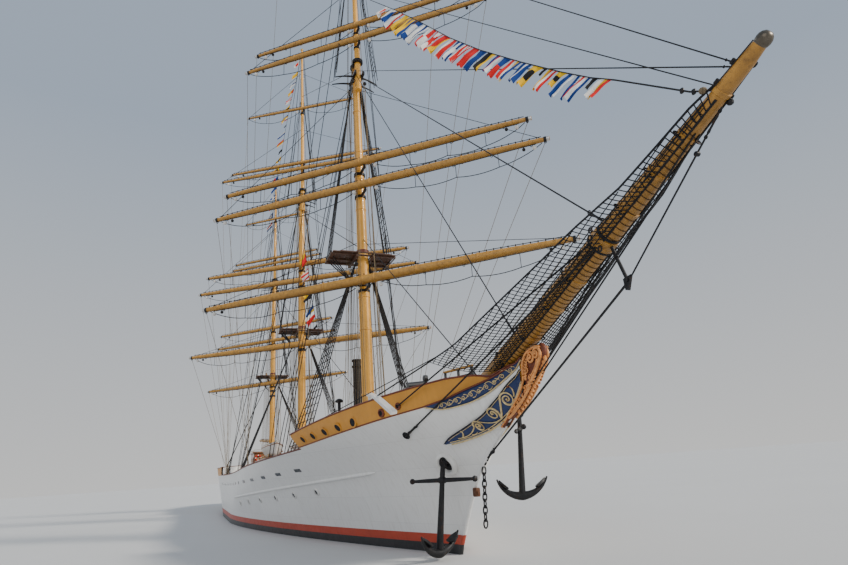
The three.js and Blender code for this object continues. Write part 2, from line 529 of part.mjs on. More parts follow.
// Main stays and the bobstay, each one straight taut rod
const rod = (name, a, b, r, cut) => {
  let s = bar([[a, r], [b, r]], 8);
  for (const c of cut) s = s.subtract(grown(solids[c]));
  add(name, s.decompose().sort((p, q) => q.volume() - p.volume())[0], M.black);
};
const at = (k, z, dx = 0, y = 0) => [axisX(MASTS[k], z) + dx, y, z];
const STAY = 0.03; // radius
rod("fore_stay", at("fore", 16.7), spritAt(35.5), STAY, ["foremast", "forecastle", "bowsprit"]);
rod("fore_topmast_stay", at("fore", 29.5, 0, -0.12), spritAt(37.95), STAY, ["foremast", "bowsprit"]);
rod("jib_stay", at("fore", 29.2, 0, 0.12), spritAt(42.6), STAY, ["foremast", "bowsprit"]);
rod("fore_topgallant_stay", at("fore", 29.0, POLE_AHEAD), spritAt(46.4), STAY, ["foremast", "bowsprit"]);
rod("fore_royal_stay", at("fore", 41.1, POLE_AHEAD * 0.6), spritAt(46.63), STAY, ["foremast", "bowsprit"]);
rod("main_stay", at("main", 17.0), at("fore", 6.4), STAY, ["mainmast", "foremast"]);
rod("mizzen_stay", at("mizzen", 16.3), at("main", 7.0), STAY, ["mizzenmast", "mainmast"]);
// The bobstay is spread by a short strut under the bowsprit, its two lengths joined by a small plate
const KINK = [42.72, 0, 6.62];
{
  const heart = plate([[42.86, 6.75], [42.6, 6.72], [42.62, 6.45], [42.7, 6.42]], -0.035, 0.035);
  const chain = union(bar([[spritAt(45.5), 0.035], [KINK, 0.035]], 8), bar([[KINK, 0.035], [[34.9, 0, 3.0], 0.035]], 8),
    bar([[spritAt(42.3), 0.045], [KINK, 0.045]], 8), heart);
  add("bobstay", biggest(chain.subtract(grown(solids.bowsprit)).subtract(bow)), M.black);
}

export default root;
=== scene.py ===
"""A three-masted full-rigged ship as a 1:10 model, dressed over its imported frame.

Sizes are in metres of the real ship, and SCALE turns them into the part's metres.
+X is the bow, +Y port, +Z up, and the waterline is at z = 0.
"""
import math

import bpy
import bmesh
import numpy as np
from mathutils import Matrix, Vector


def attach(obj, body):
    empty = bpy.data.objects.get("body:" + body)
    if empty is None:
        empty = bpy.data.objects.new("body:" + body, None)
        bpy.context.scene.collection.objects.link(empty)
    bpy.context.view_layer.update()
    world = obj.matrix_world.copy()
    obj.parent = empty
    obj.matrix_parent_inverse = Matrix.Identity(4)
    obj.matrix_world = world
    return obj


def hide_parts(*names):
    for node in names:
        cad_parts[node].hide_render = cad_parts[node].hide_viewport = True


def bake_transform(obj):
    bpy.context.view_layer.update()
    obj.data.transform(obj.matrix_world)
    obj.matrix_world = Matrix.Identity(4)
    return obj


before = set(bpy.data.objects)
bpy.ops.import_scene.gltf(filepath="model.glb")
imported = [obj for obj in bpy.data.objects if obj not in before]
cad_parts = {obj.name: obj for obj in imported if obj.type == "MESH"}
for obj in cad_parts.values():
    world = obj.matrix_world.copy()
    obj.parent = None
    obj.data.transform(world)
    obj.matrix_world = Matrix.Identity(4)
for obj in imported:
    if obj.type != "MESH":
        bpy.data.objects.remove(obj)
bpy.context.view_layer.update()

SCALE = 0.1
SHIP = "ship"
SIDES = {"starboard": -1, "port": 1}
UP, AHEAD, TO_PORT = (0, 0, 1), (1, 0, 0), (0, 1, 0)
TURN = 2 * math.pi


# Hull form, the same numbers as the frame's
BEAM = 5.98
KEEL_Z = -5.0
BOOT_LOW, BOOT_TOP = 0.33, 0.65
BREAK_FORE, BREAK_AFT = 25.9, -14.0
EDGE = 0.07  # half the width of the stem
WALL = 0.16  # thickness of a bulwark
BEYOND = 99  # an x past either end of the ship
# The profiles of the bow and the stern, as (z, x)
STEM = [(-5, 30.4), (-4.4, 31.3), (-3, 32.0), (-1.5, 32.3), (0, 32.51), (0.65, 32.9), (1.78, 33.73),
        (2.55, 34.39), (3.0, 35.0), (3.58, 35.83), (4.27, 37.0), (4.7, 37.5), (5.6, 37.9), (7, 38.2)]
STERN = [(-5, -31.0), (-0.75, -31.3), (-0.35, -31.6), (0.33, -32.6), (0.65, -33.1), (1.6, -34.7),
         (2.6, -36.2), (3.6, -37.0), (4.6, -37.3), (7, -37.6)]


def smooth_line(table):
    """A monotone cubic through a table of (z, x)."""
    z, x = np.array(table, float).T
    slope = np.diff(x) / np.diff(z)
    m = np.zeros(len(z))
    m[0], m[-1] = slope[0], slope[-1]
    both = slope[:-1] * slope[1:]
    m[1:-1] = np.where(both > 0, 2 * both / np.where(both > 0, slope[:-1] + slope[1:], 1), 0)

    def at(v):
        v = np.clip(v, z[0], z[-1])
        i = np.clip(np.searchsorted(z, v) - 1, 0, len(z) - 2)
        h = z[i + 1] - z[i]
        t = (v - z[i]) / h
        return ((2 * t**3 - 3 * t**2 + 1) * x[i] + (t**3 - 2 * t**2 + t) * h * m[i]
                + (3 * t**2 - 2 * t**3) * x[i + 1] + (t**3 - t**2) * h * m[i + 1])
    return at


stem_x = smooth_line(STEM)
stern_x = smooth_line(STERN)


# The forecastle wall's top near the stem, where it drops to the trailboards
FORE_SHEER = smooth_line([(25, 6.5), (35.2, 5.66), (36.0, 5.63), (36.4, 5.59), (36.7, 5.52),
                          (36.85, 5.47), (37.13, 5.55), (37.5, 5.68), (38.2, 5.96)])


def mix(a, b, t):
    return a + (b - a) * t


def half_breadth(x, z):
    up = np.clip(z / 4.7, 0, 1) ** 1.4
    down = np.clip(z / KEEL_Z, 0, 1)
    above = np.asarray(z) > 0
    side = np.where(above, BEAM, BEAM * np.sqrt(np.maximum(0, 1 - (0.985 * down) ** 5)))
    lf = np.where(above, mix(28.9, 20, up), mix(28.9, 31, down))
    nf = np.where(above, mix(1.6, 2, up), mix(1.6, 1.3, down))
    la = np.where(above, mix(26, 13, up), mix(26, 31, down))
    na = np.where(above, mix(1.7, 2.6, up), mix(1.7, 1.15, down))
    fore = 1 - np.maximum(0, 1 - np.maximum(0, stem_x(z) - x) / lf) ** nf
    aft = 1 - np.maximum(0, 1 - np.maximum(0, x - stern_x(z)) / la) ** na
    return np.maximum(EDGE, side * fore * aft)


def well_deck_z(x):
    return 2.45 + 0.00085 * np.where(np.asarray(x) < 0, 0.8, 1) * x * x


def fore_deck_z(x):
    return 4.06 + 0.75 * (np.maximum(0, np.asarray(x, float) - BREAK_FORE) / 9) ** 1.1


def fore_rail_z(x):
    return 4.75 + 0.95 * (1 - (1 - np.clip(np.asarray(x, float) - BREAK_FORE, 0, 11) / 11) ** 1.5)


def fore_wall_z(x):
    return np.minimum(fore_rail_z(x), FORE_SHEER(x))


def well_rail_z(x):
    return well_deck_z(x) + 1.1


def poop_deck_z(x):
    return 3.65 + 0.0013 * (np.asarray(x, float) - BREAK_AFT) ** 2


def poop_rail_z(x):
    return poop_deck_z(x) + 0.85


def level(z):
    return lambda x: z + 0 * np.asarray(x, float)


def raised(line, dz):
    return lambda x: line(x) + dz


def plain_number(line):
    return lambda x: float(line(x))


# Mesh making
class Mesh:
    """Points and faces in metres of the ship, with a material index for each face."""

    def __init__(self):
        self.points, self.faces, self.marks, self.count = [], [], [], 0

    def add(self, points, faces, mark=0):
        points = np.asarray(points, float).reshape(-1, 3)
        self.points.append(points)
        n = self.count
        self.faces += [tuple(i + n for i in f) for f in faces]
        self.marks += [mark] * len(faces)
        self.count += len(points)


def unit(v):
    v = np.asarray(v, float)
    return v / (np.linalg.norm(v) or 1)


def across(direction, up=UP):
    """Two unit vectors square to a direction."""
    d = unit(direction)
    ref = np.asarray(up, float) if abs(d @ unit(up)) < 0.95 else np.array((1.0, 0, 0))
    u = unit(np.cross(ref, d))
    return u, np.cross(d, u)


def loft(mesh, rings, mark=0, closed=True, caps=True):
    """Faces between rings of equal counts."""
    rings = np.asarray(rings, float)
    k, n = rings.shape[:2]
    wide = n if closed else n - 1
    i = np.arange(wide)
    j = (i + 1) % n
    rows = np.arange(k - 1)[:, None] * n
    faces = np.stack([rows + i, rows + j, rows + n + j, rows + n + i], -1).reshape(-1, 4).tolist()
    if caps and closed:
        faces.append(list(range(n - 1, -1, -1)))
        faces.append(list(range((k - 1) * n, k * n)))
    mesh.add(rings, faces, mark)


def circle(centre, u, w, ru, rw=None, sides=12):
    a = (np.arange(sides) + 0.5) * TURN / sides
    rw = ru if rw is None else rw
    return np.asarray(centre) + np.outer(np.cos(a) * ru, u) + np.outer(np.sin(a) * rw, w)


def tube(mesh, points, radius, sides=8, mark=0, flat=1.0, up=UP, ring=False):
    """A round bar along points, its frame carried along without twist."""
    p = np.asarray(points, float)
    r = np.broadcast_to(np.asarray(radius, float), len(p))
    step = np.roll(p, -1, 0) - np.roll(p, 1, 0) if ring else np.gradient(p, axis=0)
    u, w = across(step[0], up)
    rings = []
    for centre, d, size in zip(p, step, r):
        d = unit(d)
        u = unit(u - d * (u @ d))
        w = np.cross(d, u)
        rings.append(circle(centre, u, w, size, size * flat, sides))
    if ring:
        rings.append(rings[0])
    loft(mesh, rings, mark, caps=not ring)


def line(mesh, a, b, r=0.025, sides=5, mark=0):
    tube(mesh, [a, b], r, sides, mark)


def turned(mesh, base, axis, profile, sides=20, mark=0):
    """A turned shape: profile is (height along the axis, radius)."""
    u, w = across(axis)
    base, d = np.asarray(base, float), unit(axis)
    loft(mesh, [circle(base + d * h, u, w, max(r, 0.002), sides=sides) for h, r in profile], mark)


def oval(mesh, centre, long, short, count, r, sides, mark, up):
    """A link of chain or a turn of rope: long and short are its half axes."""
    path = [centre + long * math.cos(q) + short * math.sin(q) for q in np.linspace(0, TURN, count + 1)[:-1]]
    tube(mesh, path, r, sides, mark, ring=True, up=up)


def collar(mesh, base, axis, r, proud, width, sides=20, mark=0, ease=0.01):
    """A band round a spar."""
    turned(mesh, base, axis, [(0, r), (ease, r + proud), (width - ease, r + proud), (width, r)], sides, mark)


def cap(mesh, p, n, r, depth, sides, mark, back=0.0):
    """A flat disc that closes a hole: from a point, a depth out along a normal."""
    turned(mesh, p - n * back, n, [(0, r), (depth, r)], sides, mark)


def block(mesh, low, high, bevel=0.03, mark=0, place=None):
    """A box with chamfered edges."""
    (x0, y0, z0), (x1, y1, z1) = low, high
    b = min(bevel, (x1 - x0) / 3, (y1 - y0) / 3, (z1 - z0) / 3)

    def outline(z, i):
        a0, a1, c0, c1 = x0 + i, x1 - i, y0 + i, y1 - i
        return [(a0 + b, c0, z), (a1 - b, c0, z), (a1, c0 + b, z), (a1, c1 - b, z),
                (a1 - b, c1, z), (a0 + b, c1, z), (a0, c1 - b, z), (a0, c0 + b, z)]
    rings = np.array([outline(z0, b / 2), outline(z0 + b, 0), outline(z1 - b, 0), outline(z1, b / 2)])
    if place is not None:
        rings = place(rings.reshape(-1, 3)).reshape(rings.shape)
    loft(mesh, rings, mark)


def placed(origin, x_axis=AHEAD, z_axis=UP):
    """A function that puts local points at an origin with given axes."""
    x = unit(x_axis)
    y = unit(np.cross(z_axis, x))
    m = np.array([x, y, np.cross(x, y)])
    return lambda p: np.asarray(p, float) @ m + np.asarray(origin, float)


def make(mesh, name, materials, slot=None, body=SHIP, replaces=(), sharp=35, weld=False):
    """The finished piece, scaled to the part and riding on its body."""
    data = bpy.data.meshes.new(name)
    data.from_pydata((np.concatenate(mesh.points) * SCALE).tolist(), [], mesh.faces)
    for m in materials if isinstance(materials, (list, tuple)) else [materials]:
        data.materials.append(m)
    data.polygons.foreach_set("material_index", mesh.marks)
    bm = bmesh.new()
    bm.from_mesh(data)
    if weld:
        bmesh.ops.remove_doubles(bm, verts=bm.verts, dist=1e-5)
    bmesh.ops.recalc_face_normals(bm, faces=bm.faces)
    bm.to_mesh(data)
    bm.free()
    data.shade_smooth()
    data.set_sharp_from_angle(angle=math.radians(sharp))
    piece = bpy.data.objects.new(name, data)
    bpy.context.scene.collection.objects.link(piece)
    if body:
        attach(piece, body)
    if replaces:
        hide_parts(*replaces)
    return piece


# Materials, in the part's metres
PLANK_LENGTH, PLANK_WIDTH = 0.62, 0.0125
STRAKE = 0.098  # height of a row of hull plates


class Nodes:
    """A principled material and short calls that add nodes to it."""

    def __init__(self, name, colour, rough=0.5, metal=0.0, spec=0.5, coat=0.0):
        self.mat = bpy.data.materials.new(name)
        self.mat.use_nodes = True
        self.tree = self.mat.node_tree
        self.shader = self.tree.nodes["Principled BSDF"]
        for socket, value in (("Roughness", rough), ("Metallic", metal), ("Specular IOR Level", spec),
                              ("Coat Weight", coat), ("Base Color", (*colour, 1))):
            self.shader.inputs[socket].default_value = value
        self.mat.diffuse_color = (*colour, 1)
        self.place = self.tree.nodes.new("ShaderNodeTexCoord").outputs["Object"]
        self.rough = rough

    def add(self, kind, **sockets):
        node = self.tree.nodes.new("ShaderNode" + kind)
        for name, value in sockets.items():
            self.feed(node.inputs[name.replace("_", " ")], value)
        return node

    def feed(self, socket, value):
        """Links a node's output to a socket, or gives it a number, a vector or a colour."""
        if isinstance(value, bpy.types.NodeSocket):
            self.tree.links.new(value, socket)
        elif socket.type == "RGBA":
            socket.default_value = (*value, 1)
        else:
            socket.default_value = value

    def stretched(self, scale, turn=(0, 0, 0)):
        return self.add("Mapping", Vector=self.place, Scale=scale, Rotation=turn).outputs["Vector"]

    def noise(self, scale, detail=4.0, rough=0.55, where=None):
        return self.add("TexNoise", Vector=where or self.place, Scale=scale, Detail=detail,
                        Roughness=rough).outputs["Fac"]

    def ramp(self, fac, stops):
        node = self.add("ValToRGB", Fac=fac)
        marks = node.color_ramp.elements
        while len(marks) < len(stops):
            marks.new(0.5)
        for mark, (at, value) in zip(marks, stops):
            mark.position = at
            mark.color = (*value, 1) if hasattr(value, "__len__") else (value, value, value, 1)
        return node.outputs["Color"]

    def math(self, kind, a, b=0.0):
        node = self.tree.nodes.new("ShaderNodeMath")
        node.operation = kind
        for socket, value in zip(node.inputs, (a, b)):
            self.feed(socket, value)
        return node.outputs[0]

    def blend(self, fac, a, b):
        node = self.tree.nodes.new("ShaderNodeMix")
        node.data_type = "RGBA"
        for index, value in ((0, fac), (6, a), (7, b)):
            self.feed(node.inputs[index], value)
        return node.outputs[2]

    def colour(self, value):
        self.tree.links.new(value, self.shader.inputs["Base Color"])

    def roughness(self, fac, spread=0.15):
        low, high = max(0.03, self.rough - spread), min(1, self.rough + spread)
        value = self.add("MapRange", Value=fac, To_Min=low, To_Max=high).outputs["Result"]
        self.tree.links.new(value, self.shader.inputs["Roughness"])

    def bump(self, height, strength=0.3, distance=0.002):
        node = self.add("Bump", Height=height, Strength=strength, Distance=distance)
        self.tree.links.new(node.outputs["Normal"], self.shader.inputs["Normal"])


def shade(colour, k):
    return tuple(min(1, c * k) for c in colour)


def painted(name, colour, rough=0.42, dirt=0.75, coat=0.15):
    """Brushed paint on steel or wood: slow changes of tone, run-down streaks and a fine grain."""
    n = Nodes(name, colour, rough, coat=coat)
    tone = n.ramp(n.noise(14, 5), [(0.3, shade(colour, 0.86)), (0.7, shade(colour, 1.07))])
    runs = n.noise(3.5, 6, 0.6, n.stretched((26, 26, 1.4)))
    tone = n.blend(n.ramp(runs, [(0.52, 0.0), (0.8, 0.5)]), tone, shade(colour, dirt))
    n.colour(tone)
    n.roughness(n.noise(60, 3))
    n.bump(n.noise(420, 3), 0.12, 0.0006)
    return n.mat


def metal(name, colour, rough=0.35, metallic=1.0, worn=None):
    n = Nodes(name, colour, rough, metallic)
    tone = n.ramp(n.noise(90, 6, 0.65), [(0.35, shade(colour, 0.7)), (0.65, shade(colour, 1.15))])
    if worn:
        tone = n.blend(n.ramp(n.noise(34, 8, 0.7), [(0.56, 0.0), (0.68, 0.8)]), tone, worn)
    n.colour(tone)
    n.roughness(n.noise(150, 4), 0.18)
    n.bump(n.noise(260, 5), 0.2, 0.0008)
    return n.mat


def rope(name, colour, rough=0.85):
    """Laid rope or served wire: a fine twist, darker in its grooves as painted shade, and uneven tone."""
    n = Nodes(name, colour, rough, spec=0.25)
    twist = n.add("TexWave", Vector=n.stretched((1, 1, 1), (0.6, 0.6, 0.6)), Scale=240, Distortion=3,
                  Detail=2).outputs["Fac"]
    # Colour follows the twist's relief, darker in the grooves: painted shade, mixed with a random tone.
    n.colour(n.ramp(n.blend(0.5, twist, n.noise(120, 4)),
                    [(0.25, shade(colour, 0.6)), (0.75, shade(colour, 1.3))]))
    n.roughness(n.noise(200, 3))
    n.bump(twist, 0.5, 0.001)
    return n.mat


def canvas(name, colour, dirt=(0.3, 0.22, 0.12)):
    """Woven sailcloth, weathered, with crossing threads and stains."""
    n = Nodes(name, colour, 0.9, spec=0.2)
    n.shader.inputs["Sheen Weight"].default_value = 0.25
    warp = n.add("TexWave", Vector=n.place, Scale=310, Distortion=0.6).outputs["Fac"]
    weft = n.add("TexWave", Vector=n.stretched((1, 1, 1), (0, 1.5708, 0.9)), Scale=310,
                 Distortion=0.6).outputs["Fac"]
    tone = n.ramp(n.noise(22, 6, 0.6), [(0.28, shade(colour, 0.68)), (0.72, shade(colour, 1.16))])
    stains = n.ramp(n.noise(9, 5, 0.7), [(0.5, 0.0), (0.75, 0.55)])
    n.colour(n.blend(stains, tone, dirt))
    n.roughness(n.noise(80, 3), 0.08)
    n.bump(n.math("ADD", n.math("MULTIPLY", warp, weft), n.noise(45, 4)), 0.35, 0.0015)
    return n.mat


def wood(name, colour, rough=0.4, coat=0.3):
    """Varnished or painted wood with long grain along the ship."""
    n = Nodes(name, colour, rough, coat=coat)
    grain = n.noise(10, 8, 0.65, n.stretched((1.2, 16, 16)))
    n.colour(n.ramp(grain, [(0.3, shade(colour, 0.62)), (0.5, colour), (0.72, shade(colour, 1.25))]))
    n.roughness(grain)
    n.bump(grain, 0.2, 0.0008)
    return n.mat


def planking(name, colour):
    """Caulked deck planks, laid fore and aft."""
    n = Nodes(name, colour, 0.75, spec=0.3)
    laid = n.add("TexBrick", Vector=n.place, Scale=1.0, Color1=shade(colour, 1.12),
                 Color2=shade(colour, 0.82), Mortar=(0.02, 0.018, 0.016), Mortar_Size=0.0009,
                 Brick_Width=PLANK_LENGTH, Row_Height=PLANK_WIDTH)
    grain = n.noise(12, 8, 0.65, n.stretched((1.5, 24, 24)))
    n.colour(n.blend(0.45, laid.outputs["Color"],
                     n.ramp(grain, [(0.3, shade(colour, 0.6)), (0.7, shade(colour, 1.3))])))
    n.roughness(grain, 0.1)
    n.bump(laid.outputs["Fac"], -0.35, 0.001)
    return n.mat


def plated(name, colour):
    """White hull plating: long strakes with lapped edges, faint streaks and a slow unevenness."""
    n = Nodes(name, colour, 0.38, coat=0.1)
    turn = n.add("Mapping", Vector=n.place, Rotation=(math.pi / 2, 0, 0)).outputs["Vector"]
    plates = n.add("TexBrick", Vector=turn, Scale=1.0, Color1=colour, Color2=shade(colour, 0.955),
                   Mortar=shade(colour, 0.8), Mortar_Size=0.0007, Mortar_Smooth=0.6, Brick_Width=PLANK_LENGTH,
                   Row_Height=STRAKE)
    runs = n.noise(3.0, 6, 0.6, n.stretched((40, 12, 1.8)))
    tone = n.blend(n.ramp(runs, [(0.5, 0.0), (0.85, 0.5)]), plates.outputs["Color"], (0.5, 0.47, 0.42))
    n.colour(tone)
    n.roughness(n.noise(40, 3), 0.1)
    uneven = n.math("ADD", n.math("MULTIPLY", n.noise(7, 2), 4.0),
                    n.math("MULTIPLY", plates.outputs["Fac"], -0.5))
    n.bump(uneven, 0.18, 0.004)
    return n.mat


def mottled(name, colour, spot, rough=0.5):
    """Oiled paint on a spar: patches and fine specks of the wood's darker tone, with painted shade
    underneath.
    """
    n = Nodes(name, colour, rough, coat=0.05)
    tone = n.ramp(n.noise(48, 6, 0.65),
                  [(0.34, shade(colour, 0.68)), (0.5, colour), (0.7, shade(colour, 1.22))])
    specks = n.ramp(n.noise(190, 5, 0.7), [(0.56, 0.0), (0.7, 0.75)])
    tone = n.blend(specks, tone, spot)
    # Sides that face downwards are blended towards a dark tone: painted shade.
    facing = n.add("SeparateXYZ", Vector=n.add("NewGeometry").outputs["Normal"]).outputs["Z"]
    under = n.add("MapRange", Value=facing, From_Min=-0.2, From_Max=-0.9, To_Min=0.0,
                  To_Max=0.55).outputs["Result"]
    n.colour(n.blend(under, tone, shade(colour, 0.4)))
    n.roughness(n.noise(120, 4))
    n.bump(n.noise(230, 5), 0.3, 0.0012)
    return n.mat


def bunting(name, colour):
    """Thin flag cloth: a close weave and faint washed-out patches."""
    n = Nodes(name, colour, 0.85, spec=0.15)
    warp = n.add("TexWave", Vector=n.place, Scale=420, Distortion=0.5).outputs["Fac"]
    n.colour(n.ramp(n.noise(26, 4), [(0.3, shade(colour, 0.85)), (0.7, shade(colour, 1.1))]))
    n.roughness(n.noise(90, 3), 0.08)
    n.bump(n.math("ADD", warp, n.noise(60, 3)), 0.2, 0.0008)
    return n.mat


WHITE = plated("hull_white", (0.77, 0.765, 0.75))
# Black for the galley chimney, and for the plates that close the freeing slots and fairleads: painted shade
# of those holes.
SOOT_AND_HOLE_SHADE = painted("soot_black_and_hole_shade", (0.008, 0.009, 0.012), 0.85, 0.8, 0.0)
BLACK = painted("bottom_black", (0.018, 0.019, 0.021), 0.5, 2.2)
RED = painted("boot_red", (0.46, 0.05, 0.02), 0.5, 0.6)
OCHRE = painted("bulwark_ochre", (0.62, 0.27, 0.028), 0.5, 0.72, 0.05)
MAST = painted("mast_ochre", (0.74, 0.36, 0.045), 0.4, 0.72, 0.15)
YARD = mottled("yard_brown", (0.50, 0.25, 0.04), (0.10, 0.045, 0.015))
SPRIT_PAINT = mottled("bowsprit_ochre", (0.50, 0.24, 0.035), (0.11, 0.045, 0.012), 0.5)
HOUSE = painted("house_white", (0.74, 0.73, 0.70), 0.4, 0.75)
CAP = wood("rail_red_brown", (0.16, 0.036, 0.015), 0.55, 0.05)
TEAK = wood("varnished_teak", (0.26, 0.105, 0.035), 0.3, 0.5)
TOP_WOOD = wood("top_planks_brown", (0.085, 0.038, 0.02), 0.6, 0.1)
DECK = planking("deck_planks", (0.42, 0.29, 0.17))
COVER = canvas("boat_cover", (0.55, 0.53, 0.47))
ORANGE = canvas("orange_cover", (0.64, 0.17, 0.03), (0.3, 0.08, 0.03))
TAR = rope("tarred_wire", (0.016, 0.015, 0.015), 0.6)
HEMP = rope("hemp", (0.20, 0.15, 0.09))
NETTING = rope("net_cord", (0.02, 0.02, 0.023), 0.8)
LACING = rope("lacing_cord", (0.075, 0.038, 0.016), 0.8)
BLUE = painted("trail_blue", (0.008, 0.026, 0.105), 0.5, 0.7, 0.0)
GOLD = metal("gilding", (0.70, 0.54, 0.27), 0.45, 0.2, (0.40, 0.22, 0.07))
CARVED = metal("carved_gold", (0.78, 0.33, 0.10), 0.5, 0.1, (0.42, 0.12, 0.03))
# Dark tone for the ground between the carved bands and leaves: painted shade of their recesses.
CARVED_SHADE = metal("carving_ground_painted_shade", (0.16, 0.036, 0.012), 0.6, 0.05, (0.07, 0.016, 0.008))
IRON = metal("black_iron", (0.022, 0.022, 0.024), 0.5, 0.6, (0.07, 0.035, 0.02))
RUST = metal("rusty_iron", (0.12, 0.045, 0.02), 0.75, 0.2, (0.25, 0.085, 0.03))
STEEL = metal("grey_steel", (0.34, 0.35, 0.36), 0.4, 0.8)
SILVER = metal("silver_cap", (0.62, 0.62, 0.61), 0.32, 0.7)
DULL_CAP = metal("sprit_cap", (0.13, 0.11, 0.085), 0.35, 0.8, (0.03, 0.025, 0.02))
BRASS = metal("brass", (0.62, 0.42, 0.16), 0.3, 0.95)
GLASS = metal("dark_glass", (0.012, 0.016, 0.022), 0.08, 0.0)
FLAG = {key: bunting("flag_" + key, colour) for key, colour in {
    "white": (0.72, 0.72, 0.70), "red": (0.62, 0.02, 0.02), "blue": (0.012, 0.045, 0.21),
    "yellow": (0.80, 0.48, 0.01), "black": (0.015, 0.015, 0.017)}.items()}


# Camera, at the photograph's place
EYE = (51.947, -8.905, 2.919)
LOOK = Vector((-0.87332644, 0.36873784, 0.31832897))
RIGHT = Vector((0.36777006, 0.92760505, -0.06552895))
LENS = 23.489


def camera():
    data = bpy.data.cameras.new("camera")
    data.lens, data.sensor_width = LENS, 36
    data.clip_start, data.clip_end = 0.01, 200
    eye = bpy.data.objects.new("camera", data)
    up = RIGHT.cross(LOOK)
    eye.matrix_world = Matrix((RIGHT, up, -LOOK)).transposed().to_4x4()
    eye.location = Vector(EYE) * SCALE
    bpy.context.scene.collection.objects.link(eye)
    bpy.context.scene.camera = eye


camera()


# Hull skin
SHIP_END = 38  # no part of the skin is farther from amidships
SETTLE = 14  # rounds in which a line finds its end on a raked stem


def reach(z_of, x0, x1, inset):
    """The ends of a level line on the hull between two stations."""
    a, b = x0, x1
    for _ in range(SETTLE):
        a = max(x0, float(stern_x(z_of(max(a, -SHIP_END)))) + inset)
        b = min(x1, float(stem_x(z_of(min(b, SHIP_END)))) - inset * 1.6)
    return a, b


def side_rows(x0, x1, lines, rows, cols, inset=0.0):
    """Starboard side points, a row for each level, closer together towards an end of the ship."""
    out = []
    zs = [lambda x, a=a, b=b, t=k / n: mix(a(x), b(x), t)
          for a, b, n in zip(lines, lines[1:], rows) for k in range(n)] + [lines[-1]]
    for z_of in zs:
        a, b = reach(z_of, x0, x1, inset)
        t = np.linspace(0, 1, cols)
        if x1 > SHIP_END:
            t = 1 - (1 - t) ** 1.7
        elif x0 < -SHIP_END:
            t = t**1.7
        x = a + (b - a) * t
        z = z_of(x)
        out.append(np.stack([x, -np.maximum(EDGE * 0.6, half_breadth(x, z) - inset), z], -1))
    return np.array(out)


def skin_strips(x0, x1, lines, rows, cols, inset=0.0):
    """The grids of a band of the hull: one round an end of the ship, or one for each side."""
    star = side_rows(x0, x1, lines, rows, cols, inset)
    port = star[:, ::-1] * (1, -1, 1)
    nose = []
    end = star[:, -1] if x1 > SHIP_END else star[:, 0]
    sign = 1 if x1 > SHIP_END else -1
    for a in (30, 60, 90, 120, 150):
        c, s = math.cos(math.radians(a)), math.sin(math.radians(a))
        step = np.stack([sign * s * np.abs(end[:, 1]) * 0.9, end[:, 1] * c * sign, end[:, 2] * 0], -1)
        nose.append(end * (1, 0, 1) + step)
    nose = np.array(nose).transpose(1, 0, 2)
    if x1 > SHIP_END:
        return [np.concatenate([star, nose, port], 1)]
    if x0 < -SHIP_END:
        return [np.concatenate([port, nose, star], 1)]
    return [star, port]


# Lengths of the ship with their counts of columns
BLOCKS = [(-BEYOND, BREAK_AFT, 44), (BREAK_AFT, BREAK_FORE, 40), (BREAK_FORE, BEYOND, 34)]


def band(mesh, lines, rows, inset=0.0, blocks=BLOCKS, mark=0):
    for x0, x1, cols in blocks:
        for grid in skin_strips(x0, x1, lines, rows, cols, inset):
            loft(mesh, grid, mark, closed=False)


AFT, MID, FORE = ([b] for b in BLOCKS)


def hull_point(x, z, side=-1, out=0.0):
    """A point on the hull's skin, moved out along its normal, with that normal."""
    d = 0.02
    y = float(half_breadth(x, z))
    dx = (float(half_breadth(x + d, z)) - float(half_breadth(x - d, z))) / (2 * d)
    dz = (float(half_breadth(x, z + d)) - float(half_breadth(x, z - d))) / (2 * d)
    n = unit((-dx, 1, -dz))
    p = np.array((x, y, z)) + n * out
    return p * (1, side, 1), n * (1, side, 1)


def inboard_y(x, z, side, gap):
    """The y of a point inside the hull's side."""
    return side * (float(half_breadth(x, z)) - gap)


def hull_path(xs, zs, side, out=0.0):
    return [hull_point(x, z, side, out)[0] for x, z in zip(xs, zs)]


def hull_shell():
    under = Mesh()
    band(under, [level(KEEL_Z), level(-4.4), level(-2), level(BOOT_LOW)], [6, 7, 6])
    for x0, x1, cols in BLOCKS:
        star = side_rows(x0, x1, [level(KEEL_Z), level(KEEL_Z + 0.01)], [1], cols)[0]
        loft(under, [star, star * (1, -1, 1)], closed=False)
    tube(under, [(-31.3, 0, KEEL_Z), (30.6, 0, KEEL_Z)], 0.14, 8)
    make(under, "underwater_hull", BLACK, "black_paint", replaces=["hull_underwater"], weld=True, sharp=50)

    boot = Mesh()
    band(boot, [level(BOOT_LOW), level(BOOT_TOP)], [3], -0.004)
    make(boot, "boot_stripe", RED, "red_paint", replaces=["boot_top"], weld=True, sharp=50)

    side = Mesh()
    tops = [level(BOOT_TOP), well_deck_z]
    band(side, tops, [12], blocks=MID)
    band(side, tops + [raised(fore_deck_z, 0.1)], [12, 8], blocks=FORE)
    band(side, tops + [poop_deck_z], [12, 6], blocks=AFT)
    make(side, "topsides", WHITE, "white_paint", replaces=["hull_topsides", "forecastle", "poop"], weld=True,
         sharp=50)


def deck(name, x0, x1, z_of, inset, cols=40):
    """A planked deck between the bulwarks, with a margin plank along its edge."""
    m = Mesh()
    star = side_rows(x0, x1, [z_of, z_of], [1], cols, inset)[0]
    shares = np.linspace(-1, 1, 9)
    rows = [star * (1, -s, 1) for s in shares]
    loft(m, [r + (0, 0, 0.015) for r in rows], closed=False)
    edge = [np.stack([star[:, 0], sy * (np.abs(star[:, 1]) - off), star[:, 2] + up], -1)
            for sy in (-1, 1) for off, up in ((0.35, 0.016), (0.35, 0.05), (0.0, 0.05), (0.0, 0.016))]
    for k in (0, 4):
        loft(m, np.array(edge[k:k + 4]).transpose(1, 0, 2), 1)
    make(m, name, [DECK, CAP])


